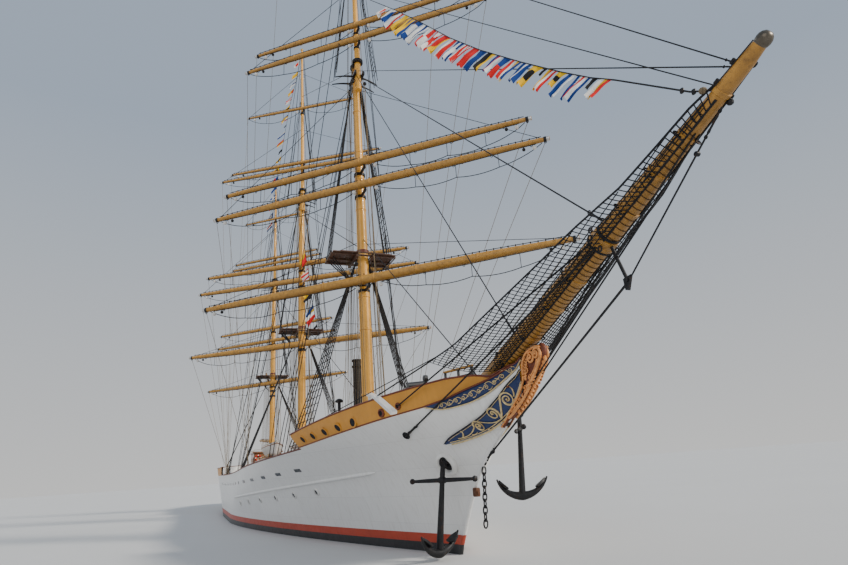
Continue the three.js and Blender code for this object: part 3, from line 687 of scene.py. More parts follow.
def bulkheads():
    """The walls across the ship at the breaks of the decks, with doors."""
    m = Mesh()
    for x, low, high, sign in ((BREAK_FORE, well_deck_z, fore_deck_z, -1),
                               (BREAK_AFT, well_deck_z, poop_deck_z, 1)):
        z0, z1 = float(low(x)), float(high(x))
        y = float(half_breadth(x, z0)) - 0.1
        block(m, (x - 0.05, -y, z0), (x + 0.05, y, z1 + 0.02), 0.01)
        for dy in (-2.4, 2.4):
            block(m, (x + sign * 0.06 - 0.05, dy - 0.4, z0 + 0.12),
                  (x + sign * 0.06 + 0.05, dy + 0.4, z1 - 0.18), 0.02, 1)
        block(m, (x + sign * 0.1 - 0.12, -y, z1 - 0.02), (x + sign * 0.1 + 0.12, y, z1 + 0.06), 0.02, 1)
        for dy in (-3.6, -1.2, 1.2, 3.6):
            turned(m, (x + sign * 0.04, dy, (z0 + z1) / 2 + 0.1), (sign, 0, 0),
                   [(0, 0.2), (0.06, 0.2), (0.07, 0.16)], 16, 3)
            turned(m, (x + sign * 0.04, dy, (z0 + z1) / 2 + 0.1), (sign, 0, 0),
                   [(0.02, 0.15), (0.075, 0.15)], 16, 2)
    make(m, "deck_bulkheads", [HOUSE, TEAK, GLASS, BRASS])


def bulwark(name, node, blocks, low, high, paint, slot, trim_low=False):
    """A plated wall, painted, with a red-brown cap rail."""
    m = Mesh()
    band(m, [low, raised(high, -0.01)], [4], 0.0, blocks)
    band(m, [low, raised(high, -0.01)], [2], WALL, blocks, 1)
    if trim_low:
        for side in SIDES.values():
            xs = np.linspace(BREAK_FORE + 0.02, 34.6, 40)
            tube(m, hull_path(xs, fore_deck_z(xs) + 0.13, side, 0.0), 0.024, 8, 2)
    for x0, x1, cols in blocks:
        outs = [skin_strips(x0, x1, [raised(high, dz)] * 2, [1], cols * 2, inset)
                for dz, inset in ((-0.03, -0.02), (0.0, -0.045), (0.03, -0.02), (0.03, 0.19), (0.0, 0.21),
                                  (-0.03, 0.19))]
        for k in range(len(outs[0])):
            loft(m, np.array([o[k][0] for o in outs]).transpose(1, 0, 2), 2)
    make(m, name, [paint, HOUSE, CAP], slot, replaces=node, sharp=40)


def bulwarks():
    bulwark("forecastle_wall", ["forecastle_bulwark"], FORE, raised(fore_deck_z, 0.1), fore_wall_z, OCHRE,
            "ochre_paint", True)
    bulwark("well_wall", ["well_bulwark_port", "well_bulwark_starboard"], MID, well_deck_z, well_rail_z,
            WHITE, "white_paint")
    bulwark("poop_wall", ["poop_bulwark"], AFT, poop_deck_z, poop_rail_z, OCHRE, "ochre_paint")


hull_shell()
deck("well_deck_planks", BREAK_AFT, BREAK_FORE, well_deck_z, WALL, 60)
deck("forecastle_deck_planks", BREAK_FORE, BEYOND, fore_deck_z, WALL)
deck("poop_deck_planks", -BEYOND, BREAK_AFT, poop_deck_z, WALL)
bulkheads()
bulwarks()


# Fittings on the hull's side
# x and z of the freeing slots
SLOTS = [(26.81, 4.47), (27.79, 4.53), (28.81, 4.60), (29.84, 4.67), (30.84, 4.77)]
FAIRLEADS = [(32.46, 4.92, 0.1), (33.30, 5.05, 0.07), (32.80, 4.08, 0.09)]  # x, z and radius of the hole


def on_side(x, z, side):
    """A placing function for something flat on the hull: local x runs forward, z out of the plating."""
    p, n = hull_point(x, z, side)
    forward = unit(hull_point(x + 0.1, z, side)[0] - hull_point(x - 0.1, z, side)[0])
    return placed(p, forward, n), p, n


def strake_z(x):
    """The height of the rubbing strake along the side."""
    return mix(1.86, 2.9, ((x - 7.5) / 22.1) ** 1.05)


def side_fittings():
    m = Mesh()
    for side in SIDES.values():
        xs = np.linspace(7.5, 29.6, 60)
        taper = np.minimum(1, np.minimum(xs - 7.4, 29.75 - xs) / 0.8)
        tube(m, hull_path(xs, strake_z(xs), side), 0.075 * np.sqrt(np.maximum(taper, 0.05)), 10)
        for x in (10.5, 13.2, 16.0, 18.9, 21.6, 24.2):
            _, p, n = on_side(x, strake_z(x) - 0.42, side)
            turned(m, p - n * 0.03, n, [(0, 0.2), (0.06, 0.2), (0.075, 0.17), (0.075, 0.13), (0.02, 0.13)],
                   18, 2)
            cap(m, p, n, 0.14, 0.05, 18, 1, 0.03)
        for x, z in SLOTS:
            put, p, n = on_side(x, z, side)
            # A black oblong and disc fill each freeing slot: painted shade of the opening.
            block(m, (-0.1, -0.13, -0.03), (0.1, 0.13, 0.02), 0.07, 4, put)
            turned(m, p - n * 0.02, n, [(0, 0.21), (0.035, 0.21), (0.045, 0.18), (0.045, 0.16),
                                        (0.01, 0.16)], 20, 3)
            cap(m, p, n, 0.165, 0.03, 20, 4, 0.02)
        for x, z, r in FAIRLEADS:
            _, p, n = on_side(x, z, side)
            turned(m, p - n * 0.03, n, [(0, r + 0.06), (0.06, r + 0.06), (0.09, r + 0.03), (0.09, r),
                                        (0.02, r)], 20, 5 if z > 4.5 else 4)
            # A black disc closes each fairlead's hole: painted shade.
            cap(m, p, n, r, 0.05, 20, 4, 0.03)
        for x in np.arange(-10, 24, 2.6):
            put, p, n = on_side(x, float(well_deck_z(x)) + 0.3, side)
            block(m, (-0.35, -0.09, -0.03), (0.35, 0.09, 0.015), 0.06, 1, put)
    make(m, "side_ports_and_strake", [WHITE, GLASS, HOUSE, OCHRE, SOOT_AND_HOLE_SHADE, CAP])


side_fittings()


# Trailboards: scrolls are drawn on the hull's side in (x, z) and laid along it
LOWER_TOP = smooth_line([(34.0, 3.70), (34.4, 3.87), (35.3, 4.13), (36.2, 4.43), (36.9, 4.81), (37.4, 5.2),
                         (37.95, 5.52)])
LOWER_BOTTOM = smooth_line([(34.0, 3.66), (34.42, 3.69), (35.06, 3.77), (35.97, 3.95), (36.78, 4.24),
                            (37.5, 4.66), (37.95, 5.12)])
UPPER_TOP = smooth_line([(34.4, 4.9), (35.2, 5.02), (36.05, 5.22), (36.83, 5.4), (37.47, 5.62), (38.15, 5.9)])
UPPER_BOTTOM = smooth_line([(34.4, 4.86), (35.1, 4.72), (35.9, 4.78), (36.65, 4.98), (37.3, 5.3),
                            (38.15, 5.84)])
VOLUTES = [(35.82, 4.13, 0.135), (36.55, 4.42, 0.15), (37.2, 4.75, 0.17)]  # x, z, radius
CURL_X = np.linspace(35.05, 37.55, 10)
SPIRAL_EYE = 0.12  # share of a spiral's radius that its eye keeps


def panel(m, low, high, x0, x1, side, proud, mark=0, cols=40, rows=8):
    grid = []
    for k in range(rows + 1):
        v = k / rows
        lift = proud * (1 - (2 * v - 1) ** 6)
        xs = np.linspace(x0, x1, cols)
        grid.append(hull_path(xs, mix(low(xs), high(xs), v), side, lift))
    loft(m, grid, mark, closed=False)


def bend(a, b, c, count=10):
    """A curve from a to c, pulled towards b."""
    a, b, c = (np.asarray(v, float) for v in (a, b, c))
    return [(1 - t) ** 2 * a + 2 * t * (1 - t) * b + t * t * c for t in np.linspace(0, 1, count)]


def spiral(cx, cz, r, turns, start, sense):
    """A volute in the plane of the board, from its outer end to its eye."""
    t = np.linspace(0, 1, int(18 * turns))
    a = start + sense * TURN * turns * t
    rr = r * ((1 - t) ** 0.8 * (1 - SPIRAL_EYE) + SPIRAL_EYE)
    return [(cx + q * math.cos(b), cz + q * math.sin(b)) for q, b in zip(rr, a)]


def trail_scrolls(carve):
    """Three volutes on one stem, which winds into them from above and below in turn, with a few leaves."""
    (x1, z1, r1), (x2, z2, r2), (x3, z3, r3) = VOLUTES
    first = spiral(x1, z1, r1 * 1.25, 1.7, math.pi, -1)
    second = spiral(x2, z2, r2 * 1.25, 1.7, -0.5, 1)
    third = spiral(x3, z3, r3 * 1.25, 1.8, math.pi, -1)
    carve(bend((34.75, 3.84), (35.3, 3.84), first[0])[:-1] + first, 0.026, 0.036)
    carve(bend((x1 - 0.05, z1 + r1 * 1.22), (x1 + 0.5, z1 - 0.02), (x2 + 0.02, z2 - r2 * 1.35))[:-1]
          + bend((x2 + 0.02, z2 - r2 * 1.35), (x2 + r2 * 1.1, z2 - r2 * 1.2), second[0])[:-1] + second,
          0.028, 0.036)
    carve(bend((x2 + r2 * 0.9, z2 - r2 * 1.15), (x3 - r3 * 1.5, z3 - r3 * 1.1), third[0])[:-1] + third,
          0.032, 0.038)
    for x, z, r in VOLUTES:
        carve([(x - 0.02, z), (x + 0.02, z)], r * 0.28, r * 0.28)
    for a, b, c in (((34.95, 3.86), (35.15, 4.0), (35.05, 4.06)), ((35.35, 3.9), (35.5, 3.9), (35.6, 3.97)),
                    ((x1 + 0.2, z1 - 0.12), (x1 + 0.35, z1 - 0.16), (x1 + 0.42, z1 - 0.05)),
                    ((x3 + 0.24, z3 + 0.05), (x3 + 0.3, z3 + 0.28), (x3 + 0.2, z3 + 0.34))):
        carve(bend(a, b, c), 0.034, 0.008)


def trailboards():
    for name, side in SIDES.items():
        m = Mesh()
        panel(m, LOWER_BOTTOM, LOWER_TOP, 34.04, 37.9, side, 0.06)
        for edge, dz, mark, r in ((LOWER_TOP, 0, 2, 0.018), (LOWER_BOTTOM, -0.01, 1, 0.026),
                                  (LOWER_BOTTOM, 0.055, 1, 0.013), (LOWER_TOP, -0.04, 1, 0.009)):
            xs = np.linspace(34.3 if dz else 34.02, 37.92, 40)
            tube(m, hull_path(xs, edge(xs) + dz, side, 0.065), r, 8, mark)

        def carve(points, r0, r1, flat=0.6):
            path = [hull_point(x, z, side, 0.08)[0] for x, z in points]
            tube(m, path, np.linspace(r0, r1, len(path)), 8, 1, flat)

        trail_scrolls(carve)
        make(m, "trail_panel_" + name, [BLUE, GOLD, IRON], "blue_paint", replaces=["trailboard_" + name])

        b = Mesh()
        panel(b, UPPER_BOTTOM, UPPER_TOP, 34.45, 38.0, side, 0.05)
        for edge, mark, r in ((UPPER_TOP, 2, 0.026), (UPPER_BOTTOM, 1, 0.022)):
            xs = np.linspace(34.4, 38.02, 40)
            tube(b, hull_path(xs, edge(xs), side, 0.05), r, 8, mark)
        for k, x in enumerate(CURL_X):
            z = float(UPPER_TOP(x) + UPPER_BOTTOM(x)) / 2
            sense = 1 if k % 2 else -1
            r = 0.07
            wound = spiral(x, z, r, 1.4, math.pi * 0.9 * -sense, sense)
            stem = bend((x - 0.3, z - 0.06 + sense * 0.05), (x - 0.16, z - sense * -0.1), wound[0], 7)
            for points, r0, r1 in ((stem[:-1] + wound, 0.013, 0.011),
                                   (bend((x + 0.05, z + sense * 0.09), (x + 0.14, z + sense * 0.11),
                                         (x + 0.2, z), 6), 0.016, 0.005)):
                tube(b, [hull_point(a, c, side, 0.06)[0] for a, c in points],
                     np.linspace(r0, r1, len(points)), 6, 1)
        panel(b, LOWER_TOP, UPPER_BOTTOM, 36.3, 37.9, side, 0.035, 3, 16, 4)
        make(b, "trail_band_" + name, [BLUE, GOLD, CAP, WHITE], "blue_paint")


trailboards()


# Masts
# x of the axis at the water, rake, heights of the deck, top, crosstrees and truck, and radius
MASTS = {
    "fore": dict(x=21.9, rake=0.0251, foot=float(well_deck_z(21.9)), top=15.4, cross=28.6, truck=48.2,
                 r=0.36),
    "main": dict(x=0.76, rake=0.034, foot=float(well_deck_z(0.76)), top=16.1, cross=29.9, truck=49.8, r=0.37),
    "mizzen": dict(x=-20.3, rake=0.0514, foot=float(poop_deck_z(-20.3)), top=15.4, cross=27.4, truck=43.8,
                   r=0.33),
}
# How far a pole stands before its mast, and a yard's pin before the mast or the pole
POLE_AHEAD, TRUSS, POLE_TRUSS = 0.62, 1.15, 0.68
# Radius of a pin, the gooseneck's distance abaft the mast, and the heights of boom and gaff
PIN, NECK, BOOM_Z, GAFF_Z = 0.07, 0.65, 7.4, 13.2
# Mast, name, height, length, brace angle in degrees from square, radius at the middle
YARDS = [
    ("fore", "course", 13.60, 24.0, 42.6, 0.27),
    ("fore", "lower_topsail", 19.90, 22.8, 41.8, 0.25),
    ("fore", "upper_topsail", 21.51, 21.2, 41.6, 0.24),
    ("fore", "lower_topgallant", 31.29, 18.3, 40.4, 0.21),
    ("fore", "upper_topgallant", 32.53, 16.7, 40.2, 0.19),
    ("fore", "royal", 38.9, 13.2, 39.6, 0.15),
    ("main", "course", 14.59, 24.3, 36.6, 0.27),
    ("main", "lower_topsail", 20.93, 22.9, 35.8, 0.25),
    ("main", "upper_topsail", 22.56, 21.3, 35.6, 0.24),
    ("main", "lower_topgallant", 33.34, 19.0, 34.3, 0.19),
    ("main", "upper_topgallant", 34.03, 16.8, 34.2, 0.17),
    ("main", "royal", 40.95, 13.3, 33.6, 0.15),
    ("mizzen", "course", 14.42, 21.4, 45.0, 0.23),
    ("mizzen", "lower_topsail", 19.94, 18.4, 43.2, 0.21),
    ("mizzen", "upper_topsail", 21.65, 17.5, 42.7, 0.2),
    ("mizzen", "lower_topgallant", 30.86, 14.2, 40.6, 0.17),
    ("mizzen", "upper_topgallant", 31.62, 13.2, 40.5, 0.16),
    ("mizzen", "royal", 37.70, 10.3, 39.9, 0.13),
]


def axis_x(m, z):
    return m["x"] - m["rake"] * z


def on_mast(m, z, ahead=0.0, y=0.0):
    return np.array((axis_x(m, z) + ahead, y, z))


def pole_ahead(m, z):
    return POLE_AHEAD * mix(1, 0.6, (z - m["cross"]) / (m["truck"] - m["cross"])) if z > m["cross"] else 0.0


def swing_x(m, z):
    return axis_x(m, z) + (pole_ahead(m, z) + POLE_TRUSS if z > m["cross"] else TRUSS)


def mast_spars(s, m):
    """The lower mast and the pole before it, with their bands, collar and belaying pins."""
    heel = m["cross"] - 1.2
    lower = [(m["foot"] - 0.2, m["r"]), (m["top"], m["r"] * 0.92), (m["cross"] + 1.3, m["r"] * 0.62)]
    zs = np.linspace(lower[0][0], lower[-1][0], 24)
    rs = np.interp(zs, [a for a, _ in lower], [b for _, b in lower])
    tube(s, [on_mast(m, z) for z in zs], rs, 28, 0)
    pole = [(heel, POLE_AHEAD, 0.2), (m["cross"] + 1.5, POLE_AHEAD, 0.2),
            (m["truck"] - 0.25, POLE_AHEAD * 0.6, 0.09)]
    tube(s, [on_mast(m, z, a) for z, a, _ in pole], [r for _, _, r in pole], 20, 0)
    turned(s, on_mast(m, m["truck"] - 0.25, POLE_AHEAD * 0.6), UP,
           [(0, 0.09), (0.04, 0.16), (0.12, 0.18), (0.2, 0.14), (0.25, 0.04)], 20, 3)
    up = unit((-m["rake"], 0, 1))
    turned(s, on_mast(m, m["foot"] - 0.05), up,
           [(0, m["r"] + 0.2), (0.12, m["r"] + 0.2), (0.22, m["r"] + 0.06), (0.4, m["r"] + 0.03)], 28, 1)

    def hoop(z, width, proud, mark):
        r = float(np.interp(z, [a for a, _ in lower], [b for _, b in lower]))
        collar(s, on_mast(m, z - width / 2), up, r, proud, width, 28, mark)

    for z in (m["foot"] + 1.5, m["foot"] + 4.2, m["top"] - 4.6, m["top"] - 2.6, m["top"] + 3.2,
              m["top"] + 5.4, m["top"] + 7.4, m["cross"] - 2.6, m["cross"] - 0.9):
        hoop(z, 0.12, 0.03, 0)
    hoop(m["top"] - 1.9, 0.22, 0.045, 1)
    hoop(m["top"] + 0.3, 0.2, 0.05, 4)
    hoop(m["foot"] + 1.1, 0.16, 0.09, 1)
    for k in range(14):
        a = k * TURN / 14
        p = on_mast(m, m["foot"] + 1.1) + np.array((math.cos(a), math.sin(a), 0)) * (m["r"] + 0.12)
        turned(s, p - (0, 0, 0.2), UP, [(0, 0.02), (0.2, 0.025), (0.22, 0.035), (0.38, 0.03),
                                        (0.42, 0.015)], 7, 2)


def top_and_trees(s, m):
    """The top's beams and planks, the crosstrees and the caps that hold the pole."""
    tx, cx, top, cross = axis_x(m, m["top"]), axis_x(m, m["cross"]), m["top"], m["cross"]
    for y in (-0.5, 0.5):
        block(s, (tx - 1.4, y - 0.08, top - 0.26), (tx + 0.7, y + 0.08, top - 0.06), 0.03, 5)
    for x in (-1.2, -0.5, 0.5):
        block(s, (tx + x - 0.07, -1.95, top - 0.12), (tx + x + 0.07, 1.95, top - 0.04), 0.02, 5)
    for y in np.arange(-1.85, 1.9, 0.3):
        if abs(y) > 0.45:
            block(s, (tx - 1.45, y - 0.14, top - 0.04), (tx + 0.72, y + 0.14, top + 0.02), 0.01, 5)
    rim = [(tx - 1.5, -2.0), (tx + 0.3, -2.0), (tx + 0.75, -1.5), (tx + 0.75, 1.5), (tx + 0.3, 2.0),
           (tx - 1.5, 2.0)]
    tube(s, [(x, y, top) for x, y in rim], 0.045, 8, 5, ring=True)
    for y in (-0.28, 0.28):
        block(s, (cx - 0.5, y - 0.07, cross - 0.14), (cx + 1.05, y + 0.07, cross + 0.1), 0.02, 1)
    for d in (-0.35, 0.45):
        ys = np.linspace(-1.5, 1.5, 13)
        tube(s, [(cx + d - 0.3 * (y / 1.5) ** 2, y, cross - 0.1 * (y / 1.5) ** 2) for y in ys],
             0.08 - 0.045 * np.abs(ys) / 1.5, 10, 1)
    for x in (0.0, POLE_AHEAD):
        collar(s, (cx + x, 0, cross + 1.0), UP, 0.34, 0.02, 0.22, 20, 1, 0.02)
    block(s, (cx - 0.25, -0.26, cross + 1.03), (cx + 0.9, 0.26, cross + 1.19), 0.04, 1)


def spar_seats(s, key, m):
    """The bands, brackets and pins that the yards, the boom and the gaff swing on."""
    for k, _, z, _, _, r in YARDS:
        if k != key:
            continue
        zb, sx = z - r - 0.17, swing_x(m, z)
        start = axis_x(m, zb) + pole_ahead(m, z)
        tube(s, [(start, 0, zb), (sx + 0.02, 0, zb)], 0.09, 10, 1)
        tube(s, [(sx, 0, zb - 0.1), (sx, 0, z - 0.03)], PIN, 12, 1)
        ring = 0.3 if z < m["cross"] else 0.16
        collar(s, (start, 0, zb - 0.1), UP, ring, 0.06, 0.2, 24, 1, 0.02)
    if key == "mizzen":
        for z, r in ((BOOM_Z, 0.2), (GAFF_Z, 0.15)):
            zb = z - r - 0.17
            tube(s, [on_mast(m, zb), on_mast(m, zb, -NECK - 0.02)], 0.09, 10, 1)
            tube(s, [on_mast(m, zb - 0.1, -NECK), on_mast(m, z - 0.03, -NECK)], PIN, 12, 1)
            collar(s, on_mast(m, zb - 0.12), UP, 0.32, 0.05, 0.24, 24, 1, 0.02)


def mast(key):
    m = MASTS[key]
    s = Mesh()
    mast_spars(s, m)
    top_and_trees(s, m)
    spar_seats(s, key, m)
    make(s, key + "_mast_dressed", [MAST, IRON, TEAK, BRASS, CAP, TOP_WOOD], "mast_paint",
         replaces=[key + "mast"])


for key in MASTS:
    mast(key)


# Small fittings that the rigging shares
def eye(mesh, centre, axis, size, r, mark=0, sides=14):
    """A round ring of bar."""
    u, w = across(axis)
    tube(mesh, circle(centre, u, w, size, sides=sides), r, 6, mark, ring=True, up=axis)


def pulley(mesh, top, size=0.12, shell=0, strap=1, drop=0.1, d=(0, 0, -1)):
    """A rope block under a point: an oval shell with a score, in an iron strap, on a short pendant."""
    d, p = unit(d), np.asarray(top, float)
    line(mesh, p, p + d * (drop + 0.02), 0.02, 5, strap)
    turned(mesh, p + d * drop, d, [(0, size * 0.3), (size * 0.35, size * 0.82), (size * 0.95, size),
                                   (size, size * 0.9), (size * 1.05, size), (size * 1.65, size * 0.82),
                                   (size * 2, size * 0.3)],
                                   12, shell)
    u, _ = across(d)
    turned(mesh, p + d * (drop + size) - u * size * 0.62, u, [(0, 0.03), (size * 1.24, 0.03)], 8, strap)


# Bare yards
FOOTROPE_DROP = 0.95  # below the yard's axis
YARD_TAPER = ([0, 0.6, 1], [1, 0.9, 0.5])  # share of the half length, share of the middle radius
EYE_STEP, EYEBOLT_STEP = 0.4, 2.3  # between the eyes on a yard, and the bolts under it


def yard_frame(key, z, brace):
    m = MASTS[key]
    cx, a = swing_x(m, z), math.radians(brace)

    def arm(t, up=0.0, ahead=0.0):
        return np.array((cx + math.sin(a) * t + math.cos(a) * ahead, math.cos(a) * t - math.sin(a) * ahead,
                         z + up))
    return arm


def spar_radius(r, share):
    return r * float(np.interp(abs(share), *YARD_TAPER))


def footropes(s, arm, h):
    """The ropes that hands stand on, hung from the yard by stirrups."""
    for sign in (-1, 1):
        stirrups = np.linspace(0.06, 0.96, max(4, round(h / 2.2)))
        drop = [0.25] + [FOOTROPE_DROP] * (len(stirrups) - 2) + [0.12]
        points = []
        for i in range(len(stirrups) - 1):
            for u in np.linspace(0, 1, 7)[:-1]:
                share = mix(stirrups[i], stirrups[i + 1], u)
                sag = 0.14 * 4 * u * (1 - u)
                points.append(arm(sign * share * h, -mix(drop[i], drop[i + 1], u) - sag, -0.18))
        points.append(arm(sign * stirrups[-1] * h, -drop[-1], -0.1))
        tube(s, points, 0.024, 5, 2)
        for share, d in zip(stirrups[1:-1], drop[1:-1]):
            line(s, arm(sign * share * h, 0, -0.18), arm(sign * share * h, -d, -0.18), 0.018, 5, 2)


def jackstay(s, arm, h, r):
    """The rod along the top of a yard on its eyes, and the eyebolts under it."""
    for sign in (-1, 1):
        rod = [arm(sign * share * h, spar_radius(r, share) + 0.06, 0.05)
               for share in np.linspace(0.04, 0.96, 12)]
        tube(s, rod, 0.022, 5, 1)
        for t in np.arange(0.3, 0.96 * h, EYE_STEP):
            base = arm(sign * t, spar_radius(r, t / h) - 0.03, 0.05)
            line(s, base, base + (0, 0, 0.13), 0.034, 5, 1)
        for t in np.arange(EYEBOLT_STEP / 2, 0.93 * h, EYEBOLT_STEP):
            eye(s, arm(sign * t, -spar_radius(r, t / h) - 0.05), arm(0, 0, 1) - arm(0), 0.06, 0.018, 1, 10)


def yard(key, name, z, length, brace, r):
    arm, h = yard_frame(key, z, brace), length / 2
    full = f"{key}_{name}"
    along = arm(1) - arm(0)
    s = Mesh()
    shares = np.linspace(-1, 1, 25)
    tube(s, [arm(u * h) for u in shares], [spar_radius(r, u) for u in shares], 20, 0)
    for u in (-0.9, -0.55, -0.25, -0.03, 0.03, 0.25, 0.55, 0.9):
        rr = spar_radius(r, u)
        collar(s, arm(u * h - 0.05), along, rr, 0.025, 0.1)
    for sign in (-1, 1):
        out, rr = along * sign, spar_radius(r, 0.99)
        collar(s, arm(sign * (h - 0.34)), out, rr + 0.01, 0.02, 0.16, 20, 1)
        turned(s, arm(sign * (h - 0.18)), out,
               [(0, rr + 0.01), (0.02, rr + 0.015), (0.15, rr + 0.01), (0.18, rr * 0.7), (0.185, rr * 0.2)],
               20, 3)
        eye(s, arm(sign * (h - 0.26), -rr - 0.06), arm(0, 0, 1) - arm(0), 0.06, 0.02, 1, 10)
        pulley(s, arm(sign * (h - 0.9), -spar_radius(r, 0.95) + 0.02), 0.12, 4, 1, 0.12)
        pulley(s, arm(sign * (h - 1.5), -spar_radius(r, 0.9) + 0.02), 0.1, 5, 1, 0.1)
        pulley(s, arm(sign * 0.75, -r + 0.02), 0.12, 4, 1, 0.1)
        sheet_lead = [arm(sign * share * h, -spar_radius(r, share) - 0.045, 0.04)
                      for share in (0.93, 0.5, 0.07)]
        tube(s, sheet_lead, 0.02, 5, 2)
    footropes(s, arm, h)
    jackstay(s, arm, h, r)
    make(s, full + "_spar", [YARD, IRON, TAR, SILVER, HOUSE, IRON], "yard_paint", full + "_yard",
         [full + "_yard"])


for row in YARDS:
    yard(*row)


# Spanker boom and gaff
def fore_and_aft_spar(name, z0, x1, z1, r):
    m = MASTS["mizzen"]
    pin = axis_x(m, z0) - NECK
    a, b = np.array((pin + 0.15, 0, z0)), np.array((x1, 0, z1))
    s = Mesh()
    shares = np.linspace(0, 1, 17)
    tube(s, [mix(a, b, u) for u in shares],
         np.interp(shares, [0, 0.04, 0.5, 1], [r * 0.8, r * 0.87, r, r * 0.6]), 16)
    for u in (0.05, 0.3, 0.62, 0.94):
        rr = float(np.interp(u, [0, 0.5, 1], [r * 0.9, r, r * 0.6]))
        collar(s, mix(a, b, u), b - a, rr, 0.03, 0.1, 16, 1)
    for u in (0.3, 0.62, 0.94):
        pulley(s, mix(a, b, u) - (0, 0, r * 0.7), 0.1, 2, 1)
    rod = [mix(a, b, u) + (0, 0, r + 0.05) for u in np.linspace(0.08, 0.95, 9)]
    tube(s, rod, 0.02, 5, 1)
    for u in np.arange(0.08, 0.96, 0.05):
        base = mix(a, b, u) + (0, 0, r * 0.6)
        line(s, base, base + (0, 0, r * 0.4 + 0.07), 0.02, 5, 1)
    make(s, name + "_spar", [YARD, IRON, HOUSE], "yard_paint", name, [name])


fore_and_aft_spar("spanker_boom", BOOM_Z, -34.0, 8.3, 0.2)
fore_and_aft_spar("spanker_gaff", GAFF_Z, -28.8, 17.2, 0.15)


# Bowsprit, its nets and head gear
SPRIT = dict(x0=35.6, z0=5.42, x1=47.05, z1=9.67)
SPRIT_R = ([33.9, 37.5, 42.2, 43.8, 45.8, 46.6, 46.95], [0.36, 0.36, 0.295, 0.235, 0.172, 0.16, 0.122])
SPRIT_BOW = ([34, 36, 39, 42.5, 45, 47.1], [0, 0, -0.03, 0, 0.02, 0.04])
LACED = (36.9, 45.3)  # x of the lacing's ends
NET_CELL = 0.165  # between the cords of a head net
# The strut's foot, the eye of the martingale stays and the foot of the bobstay
KINK = np.array((42.72, 0, 6.62))
STEM_EYE = np.array((36.67, 0, 4.09))
BOBSTAY_FOOT = np.array((34.9, 0, 3.0))
# The net's outer rope: x, distance from the middle, z
NET_EDGE = np.array([(35.67, 2.04, 6.15), (37.1, 1.78, 6.41), (39.22, 1.4, 7.09), (40.87, 1.11, 7.61),
                     (42.16, 0.87, 8.05), (43.64, 0.61, 8.45), (44.69, 0.42, 8.91), (45.53, 0.27, 9.29),
                     (46.0, 0.18, 9.42)])


def sprit(x, up=0.0, y=0.0):
    z = mix(SPRIT["z0"], SPRIT["z1"], (x - SPRIT["x0"]) / (SPRIT["x1"] - SPRIT["x0"]))
    return np.array((x, y, z + float(np.interp(x, *SPRIT_BOW)) + up))


def sprit_skin(x, angle, proud=0.0):
    """A point on the spar: angle in degrees from straight below it, positive to starboard."""
    a = math.radians(angle)
    along = unit(sprit(1) - sprit(0))
    below = unit(np.cross(along, (0, 1, 0)))
    below = below if below[2] < 0 else -below
    r = float(np.interp(x, *SPRIT_R)) + proud
    return sprit(x) + (below * math.cos(a) + np.array((0, -1.0, 0)) * math.sin(a)) * r


def bowsprit():
    s = Mesh()
    xs = np.linspace(33.9, 46.95, 44)
    tube(s, [sprit(x) for x in xs], np.interp(xs, *SPRIT_R), 28, 0)
    along = sprit(47) - sprit(46)
    turned(s, sprit(42.0), along, [(0, 0.3), (0.02, 0.335), (0.15, 0.34), (0.17, 0.325), (0.2, 0.34),
                                   (0.36, 0.33), (0.38, 0.29)], 28, 0)
    collar(s, sprit(45.95), along, 0.165, 0.025, 0.12, 24, 0, 0.02)
    for x, r in ((42.0, 0.335), (42.37, 0.31)):
        collar(s, sprit(x), along, r, 0.018, 0.07, 28, 3, 0.02)
    for angle in (-140, -95, -40, 40, 95, 140):
        eye(s, sprit_skin(42.18, angle, 0.1), TO_PORT, 0.065, 0.022, 1, 10)
    turned(s, sprit(46.86), along, [(0, 0.09), (0.03, 0.115), (0.08, 0.138), (0.14, 0.148), (0.2, 0.141),
                                    (0.25, 0.115), (0.29, 0.07), (0.3, 0.02)], 24, 2)
    for a, b in (((46.62, -80), (46.02, -65)), ((46.93, 112), (45.95, 112))):
        line(s, sprit_skin(*a, 0.03), sprit_skin(*b, 0.03), 0.012, 5, 1)
    for x, angle in ((46.6, -82), (46.5, 135), (46.1, 140), (46.0, -62)):
        block(s, (-0.06, -0.035, -0.03), (0.06, 0.035, 0.05), 0.02, 1,
              placed(sprit_skin(x, angle, 0.02), along, sprit_skin(x, angle, 1) - sprit(x)))
    for x in (37.2, 38.5, 39.8, 40.9, 43.1, 44.1, 45.0):
        r = float(np.interp(x, *SPRIT_R))
        collar(s, sprit(x), along, r, 0.025, 0.11, 28)
        for angle in (-100, -60, 60, 100):
            eye(s, sprit_skin(x + 0.05, angle, 0.06), along, 0.06, 0.02, 1, 10)
    for side in (-1, 1):
        stripe = [sprit_skin(x, side * 46, 0.012) for x in np.linspace(LACED[0], 45.9, 60)]
        tube(s, stripe, [0.016 + 0.012 * abs(math.sin(2.1 * k)) for k in range(60)], 7, 3)
        for angle in (74, 100, 126):
            tube(s, [sprit_skin(x, side * angle, 0.012) for x in np.linspace(LACED[0], 45.7, 30)], 0.009, 4,
                 3)
        for x in np.arange(LACED[0], 45.6, 0.17):
            tube(s, [sprit_skin(x, side * a, 0.012) for a in np.linspace(46, 150, 7)], 0.008, 4, 3)
    for x in np.arange(*LACED, 0.15):
        turn = [sprit_skin(x + 0.05 * math.sin(math.radians(a)), a, 0.008) for a in np.linspace(-46, 46, 9)]
        tube(s, turn, 0.011, 4, 4)
    pulley(s, sprit_skin(45.98, -60, 0.0), 0.07, 1, 1, 0.03)
    pulley(s, sprit_skin(45.95, 125, 0.02), 0.075, 5, 1, 0.06, (-0.75, -0.6, 0.3))
    make(s, "bowsprit_dressed", [SPRIT_PAINT, IRON, DULL_CAP, NETTING, LACING, HEMP], "mast_paint",
         replaces=["bowsprit"])


